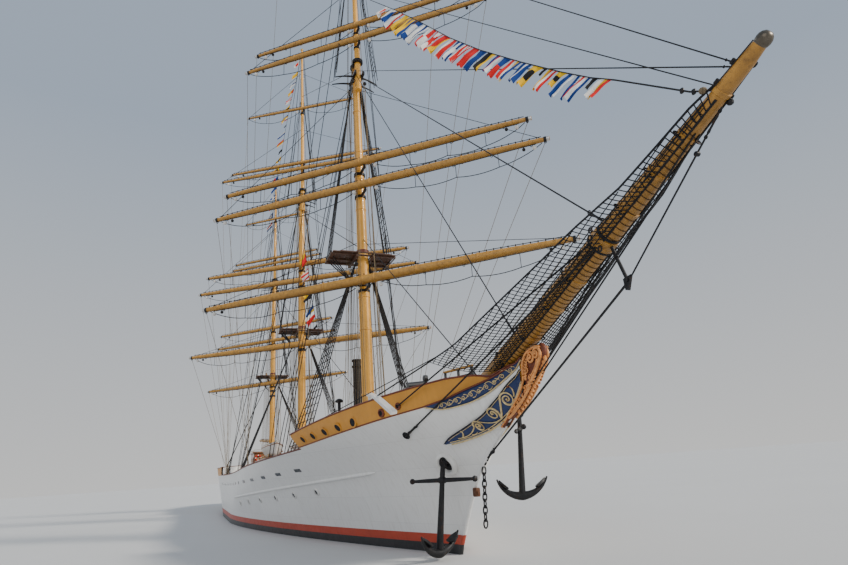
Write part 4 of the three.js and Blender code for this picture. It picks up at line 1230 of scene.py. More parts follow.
def net_frame(u, v, side):
    """A point of a head net: u runs out along the sprit, v from the sprit to the outer rope."""
    x, y, z = (float(np.interp(mix(35.67, 46.0, u), NET_EDGE[:, 0], NET_EDGE[:, k])) for k in range(3))
    inner = sprit_skin(mix(36.9, 45.9, u), -side * 46, 0.02)
    sag = -0.16 * math.sin(math.pi * v) * (1 - u)
    return mix(inner, np.array((x, side * y, z)), v) + (0, 0, sag)


def nets():
    """Square-meshed nets: cords beside the spar that end at the outer rope, and cords across them."""
    m = Mesh()
    us = np.linspace(0, 1, 80)
    width = np.array([np.linalg.norm(net_frame(u, 1, 1) - net_frame(u, 0, 1)) for u in us])
    for side in SIDES.values():
        for v, r in ((0, 0.02), (1, 0.026)):
            tube(m, [net_frame(u, v, side) for u in np.linspace(0, 1, 40)], r, 6)
        for k in range(1, int(width[0] / NET_CELL) + 1):
            inside = us[width > k * NET_CELL]
            if len(inside) > 2:
                tube(m, [net_frame(u, k * NET_CELL / float(np.interp(u, us, width)), side)
                         for u in inside[::2]], 0.013, 4)
        for k in range(72):
            u = k / 72
            tube(m, [net_frame(u, v, side) for v in np.linspace(0, 1, 7)], 0.013, 4)
    make(m, "head_nets", NETTING)


def screw(m, a, b, at, length, r=0.05, mark=0):
    """A rigging screw in a stay, at a share of the way from a to b."""
    a, b = np.asarray(a, float), np.asarray(b, float)
    d, p = unit(b - a), mix(a, b, at)
    turned(m, p, d, [(0, r * 0.6), (length * 0.1, r), (length * 0.3, r * 0.75), (length * 0.7, r * 0.75),
                     (length * 0.9, r), (length, r * 0.6)], 10, mark)
    for t in (-0.06, length + 0.06):
        eye(m, p + d * t, (0, 1, 0), r * 1.2, r * 0.4, mark, 10)


def on_rail(x, side):
    z = float(fore_rail_z(x))
    return np.array((x, inboard_y(x, z, side, 0.1), z + 0.04))


def head_gear():
    """The bobstay and its strut, guys to the bows and martingale stays, all taut."""
    m = Mesh()
    top, shackle = np.array((45.93, 0, 9.03)), np.array((45.21, 0, 8.49))
    line(m, top, shackle, 0.02, 10)
    line(m, shackle, KINK, 0.02, 10)
    turned(m, shackle - (0.03, 0, 0.03), TO_PORT,
           [(-0.05, 0.03), (-0.04, 0.052), (0.04, 0.052), (0.05, 0.03)], 12)
    line(m, KINK, BOBSTAY_FOOT, 0.03, 10)
    line(m, sprit(42.3), KINK, 0.042, 12)
    heart = [(42.86, 6.75), (42.6, 6.72), (42.62, 6.45), (42.7, 6.42)]
    loft(m, [[(x, y, z) for x, z in heart] for y in (-0.035, 0.035)])
    for y in (-0.045, 0.045):
        turned(m, KINK + (0, y - 0.012, 0.04), TO_PORT, [(0, 0.05), (0.024, 0.05)], 12)
    screw(m, top, shackle, 0.15, 0.4, 0.03)
    screw(m, BOBSTAY_FOOT, KINK, 0.035, 0.4, 0.06)
    eye(m, BOBSTAY_FOOT + (0.02, 0, 0.02), TO_PORT, 0.1, 0.035)
    block(m, STEM_EYE - (0.16, 0.07, 0.1), STEM_EYE + (0.1, 0.07, 0.1), 0.03)
    for y in (-0.06, 0.06):
        foot = STEM_EYE + (0.05, y, 0)
        line(m, foot, sprit(45.3, -0.2, y), 0.022, 6)
        screw(m, foot, sprit(45.3, -0.2, y), 0.03, 0.4, 0.04)
    make(m, "bobstay_and_strut", IRON, "black_paint", replaces=["bobstay"])

    g = Mesh()
    for side in SIDES.values():
        guy, _ = hull_point(*FAIRLEADS[2][:2], side, 0.07)
        line(g, sprit(42.2, -0.22, side * 0.27), guy, 0.03, 6)
        screw(g, guy, sprit(42.2, -0.22, side * 0.27), 0.03, 0.5)
        line(g, sprit(42.15, -0.05, side * 0.32), hull_point(*FAIRLEADS[1][:2], side, 0.05)[0], 0.028, 6)
        corner = net_frame(0, 1, side)
        line(g, corner, on_rail(31.9, side), 0.028, 6)
        line(g, net_frame(0.05, 1, side), on_rail(28.6, side), 0.018, 6)
    make(g, "bowsprit_guys", TAR)

    c = Mesh()
    hang = np.linspace(BOBSTAY_FOOT + (-0.07, 0, -0.17), (34.58, 0, 1.01), 10)
    for k, p in enumerate(hang[:-1]):
        d = hang[k + 1] - p
        side_on = TO_PORT if k % 2 else AHEAD
        oval(c, mix(p, hang[k + 1], 0.5), d * 0.68, np.cross(unit(d), side_on) * 0.07, 14, 0.026, 6, 0,
             side_on)
    block(c, (34.0, -0.09, 1.92), (34.26, 0.09, 2.2), 0.03, 1)
    line(c, (33.9, 0, 2.06), (34.3, 0, 2.06), 0.05, 10, 1)
    make(c, "stem_chain_and_lug", [IRON, RUST])


def main_stays():
    """The standing stays that the frame has as rods, as served wires with a screw at the foot of each."""
    fore, main, mizzen = MASTS["fore"], MASTS["main"], MASTS["mizzen"]
    for node, head, foot, at in (
            ("fore_stay", on_mast(fore, 16.7), sprit(35.5), 0.035),
            ("fore_topmast_stay", on_mast(fore, 29.5, 0, -0.12), sprit(37.95), 0.02),
            ("jib_stay", on_mast(fore, 29.2, 0, 0.12), sprit(42.6), 0.018),
            ("fore_topgallant_stay", on_mast(fore, 29.0, POLE_AHEAD), sprit(46.42, 0.1), 0.004),
            ("fore_royal_stay", on_mast(fore, 41.1, POLE_AHEAD * 0.6), sprit(46.47, 0.1), 0.004),
            ("main_stay", on_mast(main, 17.0), on_mast(fore, 6.4), 0.02),
            ("mizzen_stay", on_mast(mizzen, 16.3), on_mast(main, 7.0), 0.02)):
        m = Mesh()
        thin = foot[0] > 46
        line(m, foot, head, 0.016 if thin else 0.022, 8)
        screw(m, foot, head, at, 0.12 if thin else 0.45, 0.02 if thin else 0.042, 1)
        make(m, node + "_wire", [TAR, IRON], "black_paint", replaces=[node])
    m = Mesh()
    line(m, sprit(46.02, 0.1), on_mast(fore, 36.5, pole_ahead(fore, 36.5)), 0.014, 6)
    make(m, "flying_jib_stay", TAR)


bowsprit()
nets()
head_gear()
main_stays()


# Carved figurehead: acanthus leaves and volutes on a shaped ground
SCROLL_OUTLINE = [(38.3, 5.93), (38.68, 6.03), (39.08, 6.04), (39.2, 5.88), (39.1, 5.64), (38.93, 5.44),
                  (38.78, 5.28), (38.62, 5.14), (38.4, 5.0), (38.18, 4.82), (37.94, 4.65), (37.64, 4.48),
                  (37.24, 4.28), (36.98, 4.16), (37.14, 4.38), (37.54, 4.63), (37.84, 4.85),
                  (38.05, 5.08), (38.08, 5.3), (37.98, 5.52), (38.02, 5.7)]
HEAD_HALF = 0.1  # half the thickness of the carved ground


def acanthus(m, path, width, y, lift):
    """A carved leaf: a midrib with curved lobes that lean forward on both sides."""
    path = [np.array((x, y, z)) for x, z in path]
    n = len(path)
    tube(m, path, [0.045 * (1 - 0.6 * i / (n - 1)) for i in range(n)])
    for k in range(1, 8):
        t = k / 8
        i = min(n - 2, int(t * (n - 1)))
        d = unit(path[i + 1] - path[i])
        p = mix(path[i], path[i + 1], t * (n - 1) - i)
        span = width * math.sin(math.pi * (0.2 + 0.72 * t))
        for s in (-1, 1):
            normal = np.array((-d[2], 0, d[0])) * s
            lobe = [p + d * span * (0.15 + 0.75 * q * q) + normal * span * (1 - (1 - q) ** 2)
                    + np.array((0, lift * (0.6 + 0.4 * math.sin(math.pi * q)), 0))
                    for q in np.linspace(0, 1, 6)]
            sizes = [0.25 * span * math.sin(math.pi * (0.25 + 0.7 * q)) + 0.008 for q in np.linspace(0, 1, 6)]
            tube(m, lobe, sizes, 8, 0, flat=0.5, up=TO_PORT)


def inset(outline, depth):
    """An outline in the middle plane, drawn in along its own normals."""
    out = []
    for i, q in enumerate(outline):
        a, b = outline[i - 1], outline[(i + 1) % len(outline)]
        dx, dz = b[0] - a[0], b[1] - a[1]
        n = math.hypot(dx, dz)
        out.append((q[0] + depth * dz / n, q[1] - depth * dx / n))
    return out


def figurehead():
    """Scrolled bands that stand proud of a ground darkened as painted shade, with volutes at the head."""
    m = Mesh()
    rings = [[(x, y * HEAD_HALF, z) for x, z in inset(SCROLL_OUTLINE, deep)]
             for y, deep in ((-1, 0.1), (-0.8, 0.04), (-0.3, 0), (0.3, 0), (0.8, 0.04), (1, 0.1))]
    # The ground takes the dark carving material: painted shade in the recesses between the bands.
    loft(m, rings, 1)
    for side in (-1, 1):
        y = side * HEAD_HALF
        for a, b, c, width in (((37.2, 4.36), (38.0, 4.66), (38.4, 5.05), 0.09),
                               ((38.06, 4.86), (38.6, 5.1), (38.8, 5.42), 0.1),
                               ((38.16, 5.14), (38.2, 5.5), (38.36, 5.78), 0.08)):
            acanthus(m, bend(a, b, c, 12), width, y, side * 0.03)
        for a, b, c, r in (((37.02, 4.2), (37.8, 4.48), (38.36, 4.94), 0.036),
                           ((38.24, 4.94), (38.74, 5.2), (39.06, 5.66), 0.04),
                           ((37.16, 4.4), (37.95, 4.86), (38.1, 5.28), 0.03),
                           ((38.1, 5.3), (38.02, 5.78), (38.5, 5.94), 0.036),
                           ((38.5, 5.94), (38.9, 6.02), (39.08, 5.92), 0.036),
                           ((38.5, 5.22), (38.82, 5.4), (38.9, 5.62), 0.03)):
            tube(m, [(x, y + side * 0.03, z) for x, z in bend(a, b, c, 16)], r, 10, 0, flat=1.3, up=TO_PORT)
        for x, z, r, start, sense in ((38.9, 5.78, 0.19, -1.2, 1), (38.58, 5.72, 0.17, 2.2, -1),
                                      (38.32, 5.42, 0.1, 1.4, 1), (38.44, 5.18, 0.09, -1.6, 1),
                                      (38.12, 4.94, 0.07, -1.4, 1), (37.74, 4.64, 0.06, -1.4, 1)):
            curl = spiral(x, z, r, 1.7, start, sense)
            tube(m, [(a, y + side * (0.02 + 0.07 * i / len(curl)), c) for i, (a, c) in enumerate(curl)],
                 np.linspace(0.26 * r, 0.12 * r, len(curl)), 8)
            turned(m, (x, y, z), (0, side, 0), [(0, 0.22 * r), (0.08, 0.22 * r), (0.11, 0.1 * r)], 12)
    nose = np.array(SCROLL_OUTLINE[4:13])
    for a, b in zip(nose, nose[1:]):
        for t in (0.1, 0.6):
            x, z = mix(a, b, t)
            tube(m, [(x - 0.05, 0, z), (x + 0.01, 0, z - 0.02), (x + 0.05, 0, z + 0.05)],
                 [0.03, 0.06, 0.02], 10, flat=1.7)
    make(m, "carved_scroll", [CARVED, CARVED_SHADE], "gilding", replaces=["figurehead"], sharp=60)

    edge = Mesh()
    zs = np.linspace(3.98, 4.75, 13)
    xs = stem_x(zs)
    for side in (-1, 1):
        # The strip behind the leaves along the stem takes the dark carving material: painted shade.
        tube(edge, [(x + 0.02, side * 0.075, z) for x, z in zip(xs, zs)], 0.045, 8, 1)
        tube(edge, [(x - 0.17, side * 0.1, z + 0.05) for x, z in zip(xs, zs)], 0.016, 6)
        for x, z in zip(xs[:-1], zs[:-1]):
            leaf = [(x - 0.13, side * 0.09, z + 0.02), (x - 0.01, side * 0.125, z),
                    (x + 0.07, side * 0.08, z + 0.07)]
            tube(edge, leaf, [0.015, 0.045, 0.015], 8, flat=0.7)
    make(edge, "stem_carving", [CARVED, CARVED_SHADE], "gilding")


figurehead()


# Anchors and catheads
ANCHORS = {
    "starboard": dict(ring=(33.85, -1.04, 3.0), crown=(33.25, -1.12, 0.24), stock=(0.9, 0.43),
                      inboard=(33.2, -0.5, 3.0)),
    "port": dict(ring=(33.15, 2.6, 4.6), crown=(33.15, 2.34, 1.75), stock=(0.9, -0.43),
                 inboard=(33.18, 2.66, 5.62)),
}
STOCK, ARM = 2.8, 1.0
BILL_ANGLE = 1.18  # radians from the crown to a bill


def anchor(side, ring, crown, stock, inboard):
    """A stocked anchor on its chain, with crescent arms and pointed palms."""
    m = Mesh()
    crown, ring, inboard = (np.array(v, float) for v in (crown, ring, inboard))
    length, up, (tx, ty) = float(np.linalg.norm(ring - crown)), unit(ring - crown), stock
    out = np.array((tx, ty, 0))

    def spot(t, h, w=0.0):
        """Across in the plane of the arms, height above the crown, along the stock."""
        return crown + np.array((ty, -tx, 0)) * t + up * h + out * w

    def curve(a, lift=0.0):
        return spot((ARM - lift) * math.sin(a), ARM - (ARM - lift) * math.cos(a))
    hs = np.array([length + 0.12, length - 0.3, length - 0.55, length * 0.5, 0.25, 0.0])
    tube(m, [spot(0, h) for h in hs], [0.07, 0.09, 0.085, 0.1, 0.12, 0.13], 14)
    ws = np.linspace(-0.5, 0.5, 9)
    tube(m, [spot(0, length - 0.5, STOCK * w) for w in ws], 0.05 + 0.025 * (1 - (2 * ws) ** 2), 12)
    collar(m, spot(0, length - 0.5, -0.14), out, 0.07, 0.03, 0.28, 14, 0, 0.02)
    for w in (-0.5, 0.5):
        turned(m, spot(0, length - 0.5, STOCK * w) - out * 0.08, out,
               [(0, 0.04), (0.03, 0.085), (0.08, 0.1), (0.13, 0.085), (0.16, 0.04)], 14)
    angles = np.linspace(-BILL_ANGLE, BILL_ANGLE, 31)
    tube(m, [curve(a) for a in angles], 0.16 - 0.13 * np.abs(angles) / BILL_ANGLE, 14)
    for k in (-1, 1):
        rim = [curve(k * 1.1, 0.03), curve(k * 0.95, 0.06) + out * 0.15, curve(k * 0.68, 0.1) + out * 0.2,
               curve(k * 0.6, 0.1), curve(k * 0.68, 0.1) - out * 0.2, curve(k * 0.95, 0.06) - out * 0.15]
        inward = unit(spot(0, ARM) - curve(k * 0.8))
        loft(m, [[p + inward * 0.05 for p in rim], [p - inward * 0.02 for p in rim]])
    eye(m, spot(0, length + 0.08), out, 0.14, 0.04)
    start = spot(0, length + 0.1)
    d = unit(inboard - start)
    u, w = across(d)
    count = max(3, int(np.linalg.norm(inboard - start) / 0.2))
    for i in range(count):
        a, b = (u, w) if i % 2 else (w, u)
        oval(m, mix(start, inboard, (i + 0.5) / count), d * 0.15, a * 0.085, 16, 0.032, 7, 0, b)
    make(m, "anchor_dressed_" + side, IRON, "black_paint", replaces=["anchor_" + side])


def hawse():
    m = Mesh()
    for side in SIDES.values():
        _, p, n = on_side(33.47, 3.04, side)
        rim = [(-0.06, 0.44), (0.05, 0.45), (0.12, 0.43), (0.17, 0.38), (0.18, 0.33), (0.15, 0.28),
               (0.06, 0.26), (-0.03, 0.26)]
        turned(m, p, n, rim, 32, 0)
        # The black iron disc in the pipe's mouth stands for its dark inside: painted shade of the hole.
        cap(m, p, n, 0.27, 0.04, 28, 1, 0.02)
    make(m, "hawse_pipes", [HOUSE, IRON])


def catheads():
    port, star = Mesh(), Mesh()
    a, b = np.array((32.6, 1.0, 5.62)), np.array((33.25, 2.85, 5.7))
    tube(port, [a, b], 0.13, 16)
    tube(port, [(32.7, 1.25, 4.4), (32.7, 1.25, 5.66)], 0.13, 16)
    tube(star, [(31.0, -2.62, 4.4), (31.0, -2.62, 5.75)], 0.12, 16)
    heel, bow, tip = (np.array(p) for p in ((30.6, -2.58, 5.85), (32.35, -2.86, 5.53), (34.9, -3.05, 4.66)))
    path = ([mix(heel, bow, t) for t in np.linspace(0, 1, 8)[:-1]]
            + [mix(bow, tip, t) for t in np.linspace(0, 1, 10)])
    wide, thick = np.array((0.02, -0.11, -0.02)), np.array((0.012, 0.005, 0.045))
    loft(star, [[p + wide + thick, p - wide + thick, p - wide - thick, p + wide - thick] for p in path])
    d = unit(b - a)
    turned(port, b - d * 0.22, d, [(0, 0.12), (0.01, 0.15), (0.12, 0.15), (0.14, 0.12)], 18, 1)
    collar(port, b - d * 0.5, d, 0.12, 0.02, 0.08, 18, 1)
    make(port, "cathead_dressed_port", [HOUSE, IRON], "white_paint", replaces=["cathead_port"])
    make(star, "cathead_dressed_starboard", [HOUSE, IRON], "white_paint", replaces=["cathead_starboard"])


for side, data in ANCHORS.items():
    anchor(side, **data)
hawse()
catheads()


# Standing rigging
SHROUD_INSET = 0.95  # from the hull's side to the deadeyes


def deadeye(m, p, r=0.09):
    collar(m, np.asarray(p) - (0, 0.05, 0), TO_PORT, r * 0.7, r * 0.3, 0.1, 10, 1, 0.02)


def ladder(m, feet, heads, step=0.4, r=0.03):
    """Shrouds from feet to heads with ratlines across them."""
    for a, b in zip(feet, heads):
        line(m, a, b, r, 6)
    a0, b0, a1, b1 = (np.asarray(v, float) for v in (feet[0], heads[0], feet[-1], heads[-1]))
    rise = b0[2] - a0[2]
    for k in range(2, int(rise / step)):
        t = k * step / rise
        if t < 0.93:
            line(m, mix(a0, b0, t), mix(a1, b1, t), 0.02, 4)


def shrouds():
    lower, upper = Mesh(), Mesh()
    for key, m in MASTS.items():
        deck_z = poop_deck_z if key == "mizzen" else well_deck_z
        for side in SIDES.values():
            xs = [m["x"] - d for d in (0.35, 0.95, 1.55, 2.15, 2.75, 3.35)]
            feet = []
            for x in xs:
                z = float(deck_z(x))
                y = inboard_y(x, z, side, SHROUD_INSET)
                turned(lower, (x, y, z), UP, [(0, 0.09), (0.03, 0.05), (0.5, 0.05), (0.55, 0.02)], 8, 1)
                deadeye(lower, (x, y, z + 0.55), 0.11)
                deadeye(lower, (x, y, z + 1.05), 0.11)
                line(lower, (x, y, z + 0.5), (x, y, z + 1.05), 0.04, 5)
                feet.append((x, y, z + 1.05))
            line(lower, np.array(feet[0]) + (0.15, 0, 0.15), np.array(feet[-1]) + (-0.15, 0, 0.15), 0.05, 8,
                 1)
            heads = [on_mast(m, m["top"] - 0.15, -0.1 - 0.05 * i, side * 0.34) for i in range(len(xs))]
            ladder(lower, feet, heads)
            tx, cx = axis_x(m, m["top"]), axis_x(m, m["cross"])
            top_feet = [(tx - d, side * 1.93, m["top"] + 0.12) for d in (0.1, 0.5, 0.9, 1.3)]
            top_heads = [(cx - 0.05 * i, side * 0.3, m["cross"] - 0.2) for i in range(4)]
            for f in top_feet:
                deadeye(upper, np.array(f) + (0, 0, 0.12), 0.08)
                line(upper, f, (tx - 0.25, side * 0.38, m["top"] - 1.85), 0.034, 6)
            ladder(upper, top_feet, top_heads, 0.4, 0.027)
            pole_z = m["cross"] + 0.62 * (m["truck"] - m["cross"])
            pole_feet = [(cx + d, side * 1.45, m["cross"] + 0.06) for d in (0.45, 0.05, -0.35)]
            pole_heads = [on_mast(m, pole_z, pole_ahead(m, pole_z), side * 0.13)] * 3
            ladder(upper, pole_feet, pole_heads, 0.42, 0.022)
            royal_z = m["truck"] - 1.2
            for f in (pole_feet[0], pole_feet[2]):
                line(upper, f, on_mast(m, royal_z, pole_ahead(m, royal_z), side * 0.08), 0.016, 5)
            for i, (z, ahead) in enumerate(((m["cross"] - 0.4, 0), (m["cross"] - 0.3, 0),
                                            (m["cross"] + 0.9, 0.3), (pole_z, pole_ahead(m, pole_z)),
                                            (royal_z, pole_ahead(m, royal_z)))):
                x = m["x"] - 4.2 - 0.75 * i
                zf = float(deck_z(x))
                y = inboard_y(x, zf, side, SHROUD_INSET)
                deadeye(lower, (x, y, zf + 0.6))
                line(upper, (x, y, zf), on_mast(m, z, ahead, side * 0.2), 0.024, 5)
    make(lower, "lower_shrouds", [TAR, IRON])
    make(upper, "upper_shrouds_and_backstays", [TAR, IRON])


def mast_stays():
    m = Mesh()
    f, a, z = MASTS["fore"], MASTS["main"], MASTS["mizzen"]
    for start, end, r in (
            (on_mast(a, 28.9), on_mast(f, 15.9), 0.03), (on_mast(a, 31.0, 0.62), on_mast(f, 22.6), 0.026),
            (on_mast(a, 43.0, 0.45), on_mast(f, 29.4, 0.3), 0.022),
            (on_mast(z, 26.8), on_mast(a, 16.4), 0.03), (on_mast(z, 28.6, 0.62), on_mast(a, 22.9), 0.026),
            (on_mast(z, 38.5, 0.42), on_mast(a, 30.6, 0.3), 0.022)):
        line(m, start, end, r, 6)
    make(m, "stays_between_masts", TAR)


def mast_ropes():
    """Halyards, clewlines and buntlines: taut falls from blocks aloft to the pin rails by each mast."""
    falls, blocks = Mesh(), Mesh()
    for m in MASTS.values():
        deck = m["foot"] + 1.1
        for side in SIDES.values():
            for k, (z, ahead, y, dx, dy) in enumerate((
                    (m["top"] - 0.5, 0.5, 0.55, 0.9, 0.75), (m["top"] - 0.5, -0.7, 0.55, -0.8, 0.7),
                    (m["cross"] - 0.5, 0.75, 0.42, 1.0, 0.45), (m["cross"] - 0.5, -0.35, 0.4, -1.0, 0.4),
                    (m["cross"] + 4.6, pole_ahead(m, m["cross"] + 4.6) - 0.2, 0.2, -0.9, 0.95),
                    (m["truck"] - 4.0, pole_ahead(m, m["truck"] - 4.0) - 0.15, 0.14, -0.5, 1.15))):
                top = on_mast(m, z, ahead, side * y)
                pulley(blocks, top, 0.12, k % 2, 0, 0.06)
                line(falls, top - (0, 0, 0.3), (m["x"] + dx, side * dy, deck), 0.017, 4)
                line(falls, top - (0.06, 0, 0.3), (m["x"] + dx - 0.12, side * (dy + 0.1), deck), 0.017, 4)
    make(falls, "mast_falls", HEMP)
    make(blocks, "mast_blocks", [IRON, HOUSE])


shrouds()
mast_stays()
mast_ropes()


# Running rigging, taut between the ship and a yard
def yard_lines():
    for index, (key, name, z, length, brace, _) in enumerate(YARDS):
        m, arm, h = MASTS[key], yard_frame(key, z, brace), length / 2
        rising = Mesh()
        fixed = name in ("course", "lower_topsail", "lower_topgallant")
        top = {"course": m["top"] + 0.9,
               "lower_topsail": m["cross"] - 0.7}.get(name, min(z + 5.2, m["truck"] - 0.8))
        if fixed or name == "royal":
            for side in SIDES.values():
                head = on_mast(m, top, pole_ahead(m, top), side * (0.34 if top < m["cross"] else 0.12))
                line(rising, arm(side * h * 0.96, 0.1), head, 0.018, 4)
            piece = make(rising, f"{key}_{name}_lifts", TAR, body=None)
            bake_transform(piece)
        falling = Mesh()
        for side in SIDES.values():
            x = m["x"] - 7.5 - 0.45 * (index % 6)
            if key == "mizzen":
                x = m["x"] + 9.0 - 0.4 * (index % 6)
            deck_z = well_deck_z if x > BREAK_AFT else poop_deck_z
            foot_z = float(deck_z(x)) + 0.9
            foot = (x, inboard_y(x, foot_z, side, 0.4), foot_z)
            line(falling, arm(side * h * 0.985, 0.0), foot, 0.015, 4)
        piece = make(falling, f"{key}_{name}_braces", HEMP, body=None)
        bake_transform(piece)


yard_lines()


# Deckhouses, boats and deck gear
PANE = 0.17  # radius of a round window's glass
FLAPS = 3  # of glass on each slope of a skylight
DOOR_WIDTH = 0.7
ROOF_Z = 4.93  # of the forward deckhouse, at its edge


def framed_window(m, centre, out):
    c, n = np.asarray(centre, float), unit(out)
    turned(m, c - n * 0.02, n, [(0, PANE + 0.05), (0.05, PANE + 0.05), (0.065, PANE)], 16, 3)
    cap(m, c, n, PANE, 0.06, 16, 2, 0.02)


def door(m, x, y, z0, face, h):
    """A panelled door on a wall that faces along +-X or +-Y."""
    n = np.asarray(face, float)
    along = np.array((-n[1], n[0], 0))
    put = placed((x, y, z0), along)
    sign = 1 if np.allclose(np.cross(UP, along), n) else -1
    half, face_y = DOOR_WIDTH / 2, sign * 0.06
    block(m, (-half, min(0, face_y) - 0.01, 0.1), (half, max(0, face_y), h), 0.02, 1, put)
    for lo, hi in ((0.2, 0.8), (0.95, 1.6)):
        block(m, (-half + 0.12, face_y - 0.02, lo), (half - 0.12, face_y + 0.03, hi), 0.02, 1, put)


def house(name, node, x0, x1, half, z0, top, paint, slot, eaves=0.2):
    m = Mesh()
    block(m, (x0, -half, z0), (x1, half, top - 0.02), 0.06, 0)
    block(m, (x0 - eaves, -half - eaves, top - 0.1), (x1 + eaves, half + eaves, top + 0.05), 0.04, 1)
    block(m, (x0 - 0.05, -half - 0.05, z0), (x1 + 0.05, half + 0.05, z0 + 0.28), 0.03, 1)
    mid = (z0 + 0.3 + top) / 2 + 0.25
    count = max(2, int((x1 - x0) / 1.5))
    for i in range(count):
        x = mix(x0, x1, (i + 0.5) / count)
        for s in (-1, 1):
            if i == count // 2:
                door(m, x, s * half, z0 + 0.2, (0, s, 0), min(1.75, top - z0 - 0.4))
            else:
                framed_window(m, (x, s * half, mid), (0, s, 0))
    for s, x in ((-1, x0), (1, x1)):
        door(m, x, 0, z0 + 0.2, (s, 0, 0), min(1.75, top - z0 - 0.4))
        for y in (-half * 0.62, half * 0.62):
            framed_window(m, (x, y, mid), (s, 0, 0))
    rail = [(x0, -half), (x1, -half), (x1, half), (x0, half)]
    tube(m, [(x, y, top + 0.3) for x, y in rail], 0.025, 6, 3, ring=True)
    for a, b in zip(rail, rail[1:] + rail[:1]):
        n = max(2, int(math.dist(a, b) / 1.4))
        for i in range(n):
            p = mix(np.array(a), np.array(b), i / n)
            line(m, (*p, top + 0.03), (*p, top + 0.3), 0.02, 5, 3)
    make(m, name, [paint, TEAK, GLASS, BRASS], slot, replaces=[node])


def boat_rings(x0, x1, y, z, levels, n, edge, fullness, rake, sheer):
    """Outlines of an open boat from its keel to its gunwale: levels are (height, half breadth)."""
    s = np.linspace(-1, 1, n)
    rings = []
    for h, w in levels:
        b = np.maximum(edge, w * (1 - np.abs(s) ** fullness))
        x = mix(x0, x1, (s * (1 - rake + rake * h) + 1) / 2)
        up = z + h + sheer * h * s * s
        rings.append(np.concatenate([np.stack([x, y - b, up], -1), np.stack([x, y + b, up], -1)[::-1]]))
    return rings


def crowned(rim, y, low, rise):
    """Rows of a boat's cover from its rim to its ridge."""
    return [mix(rim, rim * (1, 0, 1) + (0, y, 0), t) + (0, 0, low + rise * math.sin(t * math.pi / 2))
            for t in (0.0, 0.25, 0.5, 0.75, 0.97)]


def boat(side):
    x0, x1, y0, z0, n = -11.2, -4.2, SIDES[side] * 1.55, 4.98, 32
    half, fullness = 0.97, 2.6
    m = Mesh()
    levels = ((0, 0.1), (0.06, 0.3), (0.16, 0.5), (0.35, 0.68), (0.6, 0.84), (0.8, 0.92), (0.95, half))
    rings = boat_rings(x0, x1, y0, z0, levels, n, 0.04, fullness, 0.14, 0.25)
    loft(m, rings, 0)
    tube(m, rings[-1], 0.05, 8, 1, ring=True)
    loft(m, crowned(rings[-1], y0, 0.03, 0.3), 2)
    for k in (1, 2, 3, 4):
        tube(m, rings[k][:n] + (0, -0.01, 0), 0.012, 5, 0)
        tube(m, rings[k][n:] + (0, 0.01, 0), 0.012, 5, 0)
    for cx in (-9.6, -5.8):
        block(m, (cx - 0.1, y0 - 0.6, 4.86), (cx + 0.1, y0 + 0.6, 5.15), 0.03, 1)
    for s in (-0.7, -0.35, 0, 0.35, 0.7):
        x = mix(x0, x1, (s + 1) / 2)
        b = half * (1 - abs(s) ** fullness)
        arch = [(x, y0 + b * math.cos(a), z0 + 0.98 + 0.36 * math.sin(a)) for a in np.linspace(0, math.pi, 9)]
        tube(m, arch, 0.015, 4, 3)
    make(m, "ship_boat_" + side, [HOUSE, TEAK, COVER, HEMP], "white_paint", replaces=["boat_" + side])


def funnel():
    m = Mesh()
    x, y = 18.1, 0.42
    profile = [(0, 0.36), (0.04, 0.38), (0.22, 0.38), (0.26, 0.28), (1.9, 0.27), (1.92, 0.29),
               (2.0, 0.29), (2.02, 0.27), (3.3, 0.27), (3.32, 0.29), (3.4, 0.29), (3.42, 0.27),
               (4.3, 0.27), (4.32, 0.37), (4.4, 0.37), (4.42, 0.28), (4.66, 0.28), (4.68, 0.36),
               (4.78, 0.36), (4.8, 0.24)]
    turned(m, (x, y, 4.955), UP, profile, 28)
    line(m, (x - 0.2, y, 6.7), (x - 0.2, y - 0.5, 6.7), 0.05, 10)
    turned(m, (x - 0.2, y - 0.42, 6.7), (0, -1, 0), [(0, 0.05), (0.02, 0.16), (0.06, 0.16), (0.08, 0.05)], 14)
    make(m, "galley_chimney", SOOT_AND_HOLE_SHADE, "black_paint", replaces=["galley_funnel"])


def bollards(m, x, y, z):
    for d in (-0.3, 0.3):
        turned(m, (x + d, y, z), UP,
               [(0, 0.16), (0.04, 0.13), (0.4, 0.12), (0.42, 0.16), (0.48, 0.16), (0.52, 0.1)], 14, 0)
    block(m, (x - 0.68, y - 0.18, z - 0.02), (x + 0.68, y + 0.18, z + 0.06))


def ventilator(m, x, y, z, h, r, face):
    """A cowl ventilator: an upright pipe that bends into a flared mouth, red inside."""
    path = [(x, y, z), (x, y, z + h * 0.7), (x + face * 0.03, y, z + h * 0.85), (x + face * 0.14, y, z + h),
            (x + face * 0.34, y, z + h * 1.05)]
    tube(m, path, [r * 0.8, r * 0.8, r * 0.9, r * 1.2, r * 1.5], 18, 1)
    turned(m, np.array(path[-1]) - (face * 0.02, 0, 0), (face, 0, 0), [(0, r * 1.3), (0.035, r * 1.3)], 18, 3)
    turned(m, (x, y, z - 0.02), UP, [(0, r * 1.2), (0.08, r * 1.2), (0.1, r * 0.9)], 18, 1)


def hatch(m, x0, x1, half, z):
    block(m, (x0, -half, z - 0.1), (x1, half, z + 0.55), 0.04, 1)
    block(m, (x0 - 0.06, -half - 0.06, z + 0.5), (x1 + 0.06, half + 0.06, z + 0.66), 0.06, 2)
    for x in np.arange(x0 + 0.3, x1, 0.7):
        block(m, (x - 0.04, -half - 0.09, z + 0.56), (x + 0.04, half + 0.09, z + 0.7), 0.02, 4)


